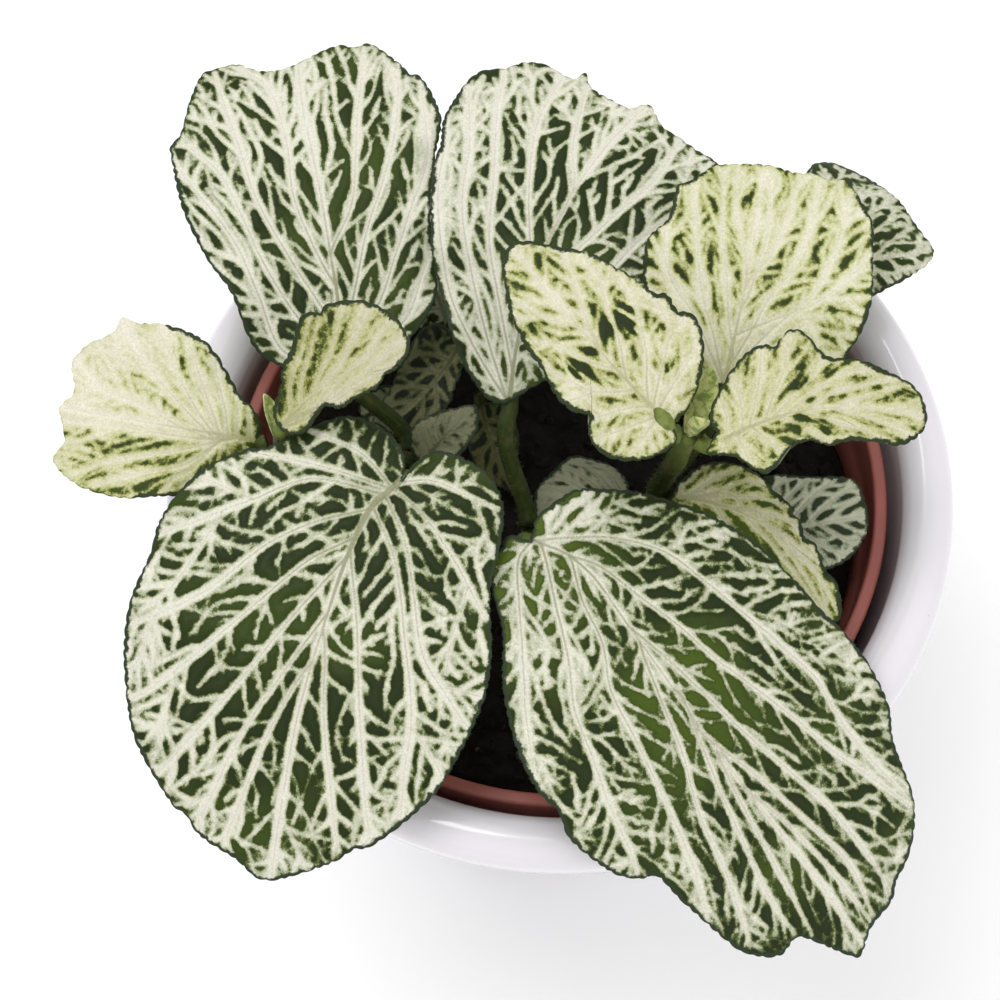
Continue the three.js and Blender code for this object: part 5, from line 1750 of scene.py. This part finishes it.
class Graph:
    """One material, with short calls for its parts."""

    def __init__(self, name):
        self.material = bpy.data.materials.new(name)
        self.material.use_nodes = True
        self.tree = self.material.node_tree
        self.tree.nodes.clear()
        self.output = self.tree.nodes.new("ShaderNodeOutputMaterial")
        self.shader = self.tree.nodes.new("ShaderNodeBsdfPrincipled")
        self.join(self.shader.outputs["BSDF"], self.output.inputs["Surface"])

    def join(self, a, b):
        """Links an output to an input."""
        self.tree.links.new(a, b)

    def put(self, socket, value):
        """Links a socket to another one, or sets it to a plain value."""
        if isinstance(value, bpy.types.NodeSocket):
            self.join(value, socket)
        else:
            socket.default_value = value

    def set(self, **values):
        """Sets the shader's inputs by name, with _ for a space."""
        for name, value in values.items():
            self.put(self.shader.inputs[name.replace("_", " ")], value)

    def value(self, name):
        """A number stored at the mesh's points."""
        node = self.tree.nodes.new("ShaderNodeAttribute")
        node.attribute_type = "GEOMETRY"
        node.attribute_name = name
        return node.outputs["Fac"]

    def place(self):
        """The place on the object itself."""
        return self.tree.nodes.new("ShaderNodeTexCoord").outputs["Object"]

    def noise(self, size, detail=2.0, rough=0.5, stretch=None):
        """Noise with lumps of the given size in millimetres."""
        node = self.tree.nodes.new("ShaderNodeTexNoise")
        node.inputs["Scale"].default_value = 1 / (size * MM)
        node.inputs["Detail"].default_value = detail
        node.inputs["Roughness"].default_value = rough
        vector = self.place()
        if stretch:
            scale = self.tree.nodes.new("ShaderNodeVectorMath")
            scale.operation = "MULTIPLY"
            self.join(vector, scale.inputs[0])
            scale.inputs[1].default_value = stretch
            vector = scale.outputs[0]
        self.join(vector, node.inputs["Vector"])
        return node.outputs["Fac"]

    def math(self, operation, a, b=0.0, c=None):
        """One sum on sockets or numbers."""
        node = self.tree.nodes.new("ShaderNodeMath")
        node.operation = operation
        self.put(node.inputs[0], a)
        self.put(node.inputs[1], b)
        if c is not None:
            self.put(node.inputs[2], c)
        return node.outputs[0]

    def span(self, value, low, high, to_low=0.0, to_high=1.0, smooth=True):
        """Where a value lies between low and high, carried over to another span."""
        node = self.tree.nodes.new("ShaderNodeMapRange")
        node.interpolation_type = "SMOOTHSTEP" if smooth else "LINEAR"
        self.put(node.inputs["Value"], value)
        for name, number in (("From Min", low), ("From Max", high), ("To Min", to_low),
                             ("To Max", to_high)):
            self.put(node.inputs[name], number)
        return node.outputs["Result"]

    def mix(self, share, a, b, blend="MIX"):
        """Colour a, with a share of colour b."""
        node = self.tree.nodes.new("ShaderNodeMix")
        node.data_type = "RGBA"
        node.blend_type = blend
        self.put(node.inputs[0], share)
        self.put(node.inputs[6], a)
        self.put(node.inputs[7], b)
        return node.outputs[2]

    def ramp(self, value, stops):
        """stops: (place, colour) pairs, places rising from 0 to 1."""
        node = self.tree.nodes.new("ShaderNodeValToRGB")
        self.put(node.inputs[0], value)
        items = node.color_ramp.elements
        while len(items) < len(stops):
            items.new(0.5)
        for item, (at, colour) in zip(items, stops):
            item.position = at
            item.color = colour
        return node.outputs["Color"]

    def bump(self, height, strength, depth):
        """Fine relief of the given depth in millimetres."""
        node = self.tree.nodes.new("ShaderNodeBump")
        node.inputs["Strength"].default_value = strength
        node.inputs["Distance"].default_value = depth * MM
        self.put(node.inputs["Height"], height)
        self.join(node.outputs["Normal"], self.shader.inputs["Normal"])


# How each kind of blade is coloured.
#   colours      (place, colour) by how far a place lies inside the white, in millimetres
#   line         colour of the fine line along a main vein, near the stalk and far from it
#   jag          how ragged the white's borders are
#   whiter       what the white gains along main veins
#   shade_tint   colour multiplied in as painted shade, by a leaf's dim share
#   band, edge   width and colour of the dark margin
LEAF_LOOKS = {
    # the lighter, greyer green deep inside the islands is partly painted sheen of the hairs, partly the
    # leaf's own colour
    "dark": dict(colours=[(-1.6, (45, 56, 32)), (-0.8, (37, 50, 16)), (-0.12, (29, 42, 3)),
                          (0.0, (98, 110, 58)), (0.08, (176, 180, 150)), (0.3, (222, 221, 202)),
                          (1.3, (240, 235, 227))],
                 line=[(104, 108, 46), (184, 170, 158)], jag=0.25, whiter=0.0,
                 shade_tint=(176, 164, 128), band=0.4, edge=(42, 54, 34)),
    "pale": dict(colours=[(-1.2, (42, 52, 28)), (-0.25, (40, 52, 14)), (-0.1, (92, 102, 36)),
                          (0.02, (164, 168, 100)), (0.22, (204, 205, 158)),
                          (0.55, (222, 220, 192)), (1.2, (238, 233, 216))],
                 line=[(168, 166, 118), (208, 200, 184)], jag=0.42, whiter=0.28,
                 shade_tint=(176, 164, 128), band=0.42, edge=(42, 54, 26)),
    "shade": dict(colours=[(-1.6, (58, 68, 50)), (-0.5, (48, 58, 36)), (-0.08, (48, 58, 34)),
                           (0.02, (128, 136, 106)), (0.2, (196, 199, 172)),
                           (0.9, (220, 219, 200)), (1.3, (220, 219, 200))],
                  line=[(110, 112, 76), (160, 154, 140)], jag=0.25, whiter=0.0,
                  shade_tint=(120, 120, 70), band=0.4, edge=(46, 56, 38)),
}
VALUE_SPAN = (-2.0, 2.0)   # least and greatest place on the scale of colours


def leaf_material(kind):
    """A blade's upper face, coloured by the numbers stored at its points."""
    look = LEAF_LOOKS[kind]
    g = Graph("leaf_" + kind)
    vein = g.value("vein")
    fine = g.math("SUBTRACT", g.noise(0.22, 2.0, 0.6), 0.5)
    rough = g.math("SUBTRACT", g.noise(0.6, 3.0, 0.6), 0.5)
    jag = g.math("MULTIPLY_ADD", fine, look["jag"], g.math("MULTIPLY", rough, look["jag"] * 1.1))
    inside = g.math("ADD", vein, jag)
    if look["whiter"]:
        inside = g.math("MULTIPLY_ADD", g.value("near"), look["whiter"], inside)
    low, high = VALUE_SPAN
    share = g.span(inside, low, high, 0, 1, smooth=False)
    colour = g.ramp(share, [((at - low) / (high - low), linear(*rgb))
                            for at, rgb in look["colours"]])
    # yellow-green near the stalk, painted light shining through the blade, and the blade's own tone in
    # patches
    island = g.span(inside, 0.02, -0.25)
    glow_and_tone = g.math("MULTIPLY", g.math("MAXIMUM", g.value("glow_and_tone"), 0.0), island)
    colour = g.mix(glow_and_tone, colour, linear(76, 96, 18))
    # the vein itself: a fine line, olive near the stalk
    line = g.span(g.math("MULTIPLY_ADD", fine, 0.15, g.value("line")), -0.14, 0.1)
    line_colour = g.mix(g.span(g.value("reach"), 0.15, 0.72), *(linear(*c) for c in look["line"]))
    colour = g.mix(g.math("MULTIPLY", line, 0.7), colour, line_colour)
    # grain of the surface
    grain = g.noise(0.3, 2.0, 0.7)
    grey = g.mix(g.span(grain, 0.3, 0.7, smooth=False), linear(140, 140, 140),
                 linear(255, 255, 255))
    colour = g.mix(0.3, colour, grey, "MULTIPLY")
    # painted shade: leaves low in the pot are darkened, by their dim share
    painted_shade_colour = g.mix(1.0, colour, linear(*look["shade_tint"]), "MULTIPLY")
    colour = g.mix(g.value("dim"), colour, painted_shade_colour)
    # dark band along the edge
    band = g.math("MULTIPLY_ADD", rough, 0.9, g.value("margin"))
    band = g.math("MULTIPLY_ADD", g.math("SUBTRACT", g.noise(3.5, 1.0), 0.5), 1.1, band)
    band = g.span(band, look["band"] + 0.15, look["band"] - 0.15)
    colour = g.mix(band, colour, linear(*look["edge"]))
    g.set(Base_Color=colour, Roughness=0.55, Sheen_Weight=0.04, Sheen_Roughness=0.5,
          Specular_IOR_Level=0.18)
    g.bump(g.math("ADD", g.math("MULTIPLY", grain, 0.6), g.noise(0.9, 2.0)), 0.5, 0.08)
    return g.material


def under_material():
    """A blade's paler lower face."""
    g = Graph("leaf_under")
    grain = g.noise(1.4, 3.0)
    colour = g.mix(grain, linear(118, 140, 92), linear(150, 166, 118))
    line = g.span(g.value("line"), -0.5, 0.0)
    colour = g.mix(line, colour, linear(176, 186, 142))
    g.set(Base_Color=colour, Roughness=0.6, Sheen_Weight=0.2)
    g.bump(g.noise(0.5, 2.0), 0.4, 0.06)
    return g.material


def stem_material():
    """Stems and stalks: dark green low down, partly their own older colour and partly painted shade under
    the leaves; fresh green well above the rim.
    """
    g = Graph("stem_green")
    streak = g.noise(0.8, 3.0, stretch=(1.0, 1.0, 0.25))
    old_and_shaded = g.mix(streak, linear(20, 30, 2), linear(52, 66, 12))
    fresh = g.mix(streak, linear(86, 102, 40), linear(140, 152, 82))
    height = g.tree.nodes.new("ShaderNodeSeparateXYZ")
    g.join(g.place(), height.inputs[0])
    # painted shade: the lower a stem lies under the leaves, the darker its green, partly its own older
    # colour too
    share = g.span(height.outputs["Z"], (RIM_LEVEL + 14) * MM, (RIM_LEVEL + 32) * MM)
    colour = g.mix(share, old_and_shaded, fresh)
    colour = g.mix(g.span(g.noise(3.0, 2.0), 0.5, 0.75), colour, linear(76, 74, 34))
    g.set(Base_Color=colour, Roughness=0.5, Sheen_Weight=0.02, Specular_IOR_Level=0.2)
    g.bump(g.noise(0.35, 2.0, stretch=(1.0, 1.0, 0.3)), 0.5, 0.08)
    return g.material


def hair_material():
    """The pale hairs."""
    g = Graph("plant_hair")
    colour = g.mix(g.noise(0.8), linear(140, 146, 112), linear(80, 90, 50))
    g.set(Base_Color=colour, Roughness=0.4)
    return g.material


def young_material():
    """The folded young leaves: cream mottled with green."""
    g = Graph("young_leaf")
    mottle = g.span(g.noise(1.0, 3.0, 0.6), 0.42, 0.62)
    colour = g.mix(mottle, linear(204, 208, 136), linear(132, 150, 72))
    g.set(Base_Color=colour, Roughness=0.5, Sheen_Weight=0.2)
    g.bump(g.noise(0.4, 2.0), 0.4, 0.06)
    return g.material


def glaze_material():
    """The cover pot's white glaze, faintly cloudy and speckled."""
    g = Graph("white_glaze")
    cloudy = g.noise(26, 3.0)
    colour = g.mix(cloudy, linear(224, 219, 226), linear(232, 228, 234))
    speck = g.span(g.noise(0.9, 1.0), 0.80, 0.86)
    colour = g.mix(g.math("MULTIPLY", speck, 0.5), colour, linear(150, 140, 132))
    g.set(Base_Color=colour, Roughness=0.16, Coat_Weight=0.6, Coat_Roughness=0.06,
          Specular_IOR_Level=0.5)
    g.bump(g.noise(7, 2.0), 0.12, 0.3)
    return g.material


def brick_material():
    """The nursery pot's brick-red plastic, a little scuffed."""
    g = Graph("brick_red_plastic")
    colour = g.mix(g.noise(5, 4.0), linear(148, 80, 71), linear(170, 98, 88))
    scuff = g.span(g.noise(1.2, 4.0, 0.7), 0.62, 0.78)
    colour = g.mix(g.math("MULTIPLY", scuff, 0.35), colour, linear(178, 122, 112))
    g.set(Base_Color=colour, Roughness=0.5)
    g.bump(g.noise(0.5, 3.0), 0.3, 0.05)
    return g.material


def soil_material(name, low, high):
    """Rough earth between two colours."""
    g = Graph(name)
    colour = g.mix(g.noise(1.4, 4.0, 0.7), linear(*low), linear(*high))
    g.set(Base_Color=colour, Roughness=0.95)
    g.bump(g.noise(0.45, 4.0, 0.7), 0.8, 0.3)
    return g.material


def floor_material():
    """The pale floor of the studio."""
    g = Graph("studio_floor")
    colour = g.mix(g.noise(60, 2.0), linear(253, 253, 253), linear(255, 255, 255))
    g.set(Base_Color=colour, Roughness=0.9)
    return g.material


# ---- Studio --------------------------------------------------------------------------------------

VIEW_ELEVATION = 67.5      # degrees
VIEW_DISTANCE = 300
VIEW_TARGET = (-8.2, -2.4, RIM_LEVEL)
FOCAL_PIXELS = 2186        # focal length, for a picture of FRAME_PIXELS
FRAME_PIXELS = 1000
SENSOR = 36
FLOOR_SIZE = 4             # side of the studio's floor, in metres
WORLD_STRENGTH = 0.8
# name, place and size in metres, power
LAMPS = (("key", (-0.25, 0.1, 0.9), 0.5, 3.0), ("fill", (0.7, -0.6, 0.8), 0.9, 2.0))


def aimed(thing, spot, target):
    """Puts a lamp or a camera into the scene, looking at a place."""
    item = bpy.data.objects.new(thing.name, thing)
    item.location = spot
    item.rotation_euler = (target - item.location).to_track_quat("-Z", "Y").to_euler()
    bpy.context.scene.collection.objects.link(item)
    return item


def make_studio():
    """A pale floor, soft white light and the camera."""
    scene = bpy.context.scene
    bpy.ops.mesh.primitive_grid_add(size=FLOOR_SIZE, x_subdivisions=8, y_subdivisions=8)
    floor = bpy.context.object
    floor.name = "studio_floor"
    floor.data.materials.append(floor_material())
    world = bpy.data.worlds.new("soft_white")
    world.use_nodes = True
    back = world.node_tree.nodes["Background"]
    back.inputs["Color"].default_value = (1, 1, 1, 1)
    back.inputs["Strength"].default_value = WORLD_STRENGTH
    scene.world = world
    for name, spot, size, power in LAMPS:
        lamp = bpy.data.lights.new(name, "AREA")
        lamp.shape = "DISK"
        lamp.size = size
        lamp.energy = power
        aimed(lamp, spot, Vector((0, 0, RIM_LEVEL * MM)))
    camera = bpy.data.cameras.new("camera")
    camera.sensor_width = SENSOR
    camera.lens = SENSOR * FOCAL_PIXELS / FRAME_PIXELS
    camera.clip_start = 0.01
    target = Vector(VIEW_TARGET) * MM
    angle = math.radians(VIEW_ELEVATION)
    away = Vector((0, -math.cos(angle), math.sin(angle)))
    scene.camera = aimed(camera, target + away * VIEW_DISTANCE * MM, target)
    scene.view_settings.view_transform = "Standard"
    scene.view_settings.look = "None"


# ---- The whole plant -----------------------------------------------------------------------------


def main():
    make_studio()
    make_cover_pot(glaze_material())
    make_nursery_pot(brick_material())
    make_soil([soil_material("dark_soil", (12, 9, 6), (30, 23, 17)),
               soil_material("pale_crumb", (70, 62, 52), (104, 94, 82))])
    stem = stem_material()
    hair = hair_material()
    young = young_material()
    under = under_material()
    for shoot in SHOOTS:
        make_stem(shoot, [stem, hair, young])
    blades = {kind: leaf_material(kind) for kind in LEAF_LOOKS}
    for spec in LEAVES:
        make_leaf(spec, [blades[spec["style"]], under, stem, hair])
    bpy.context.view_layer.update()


main()
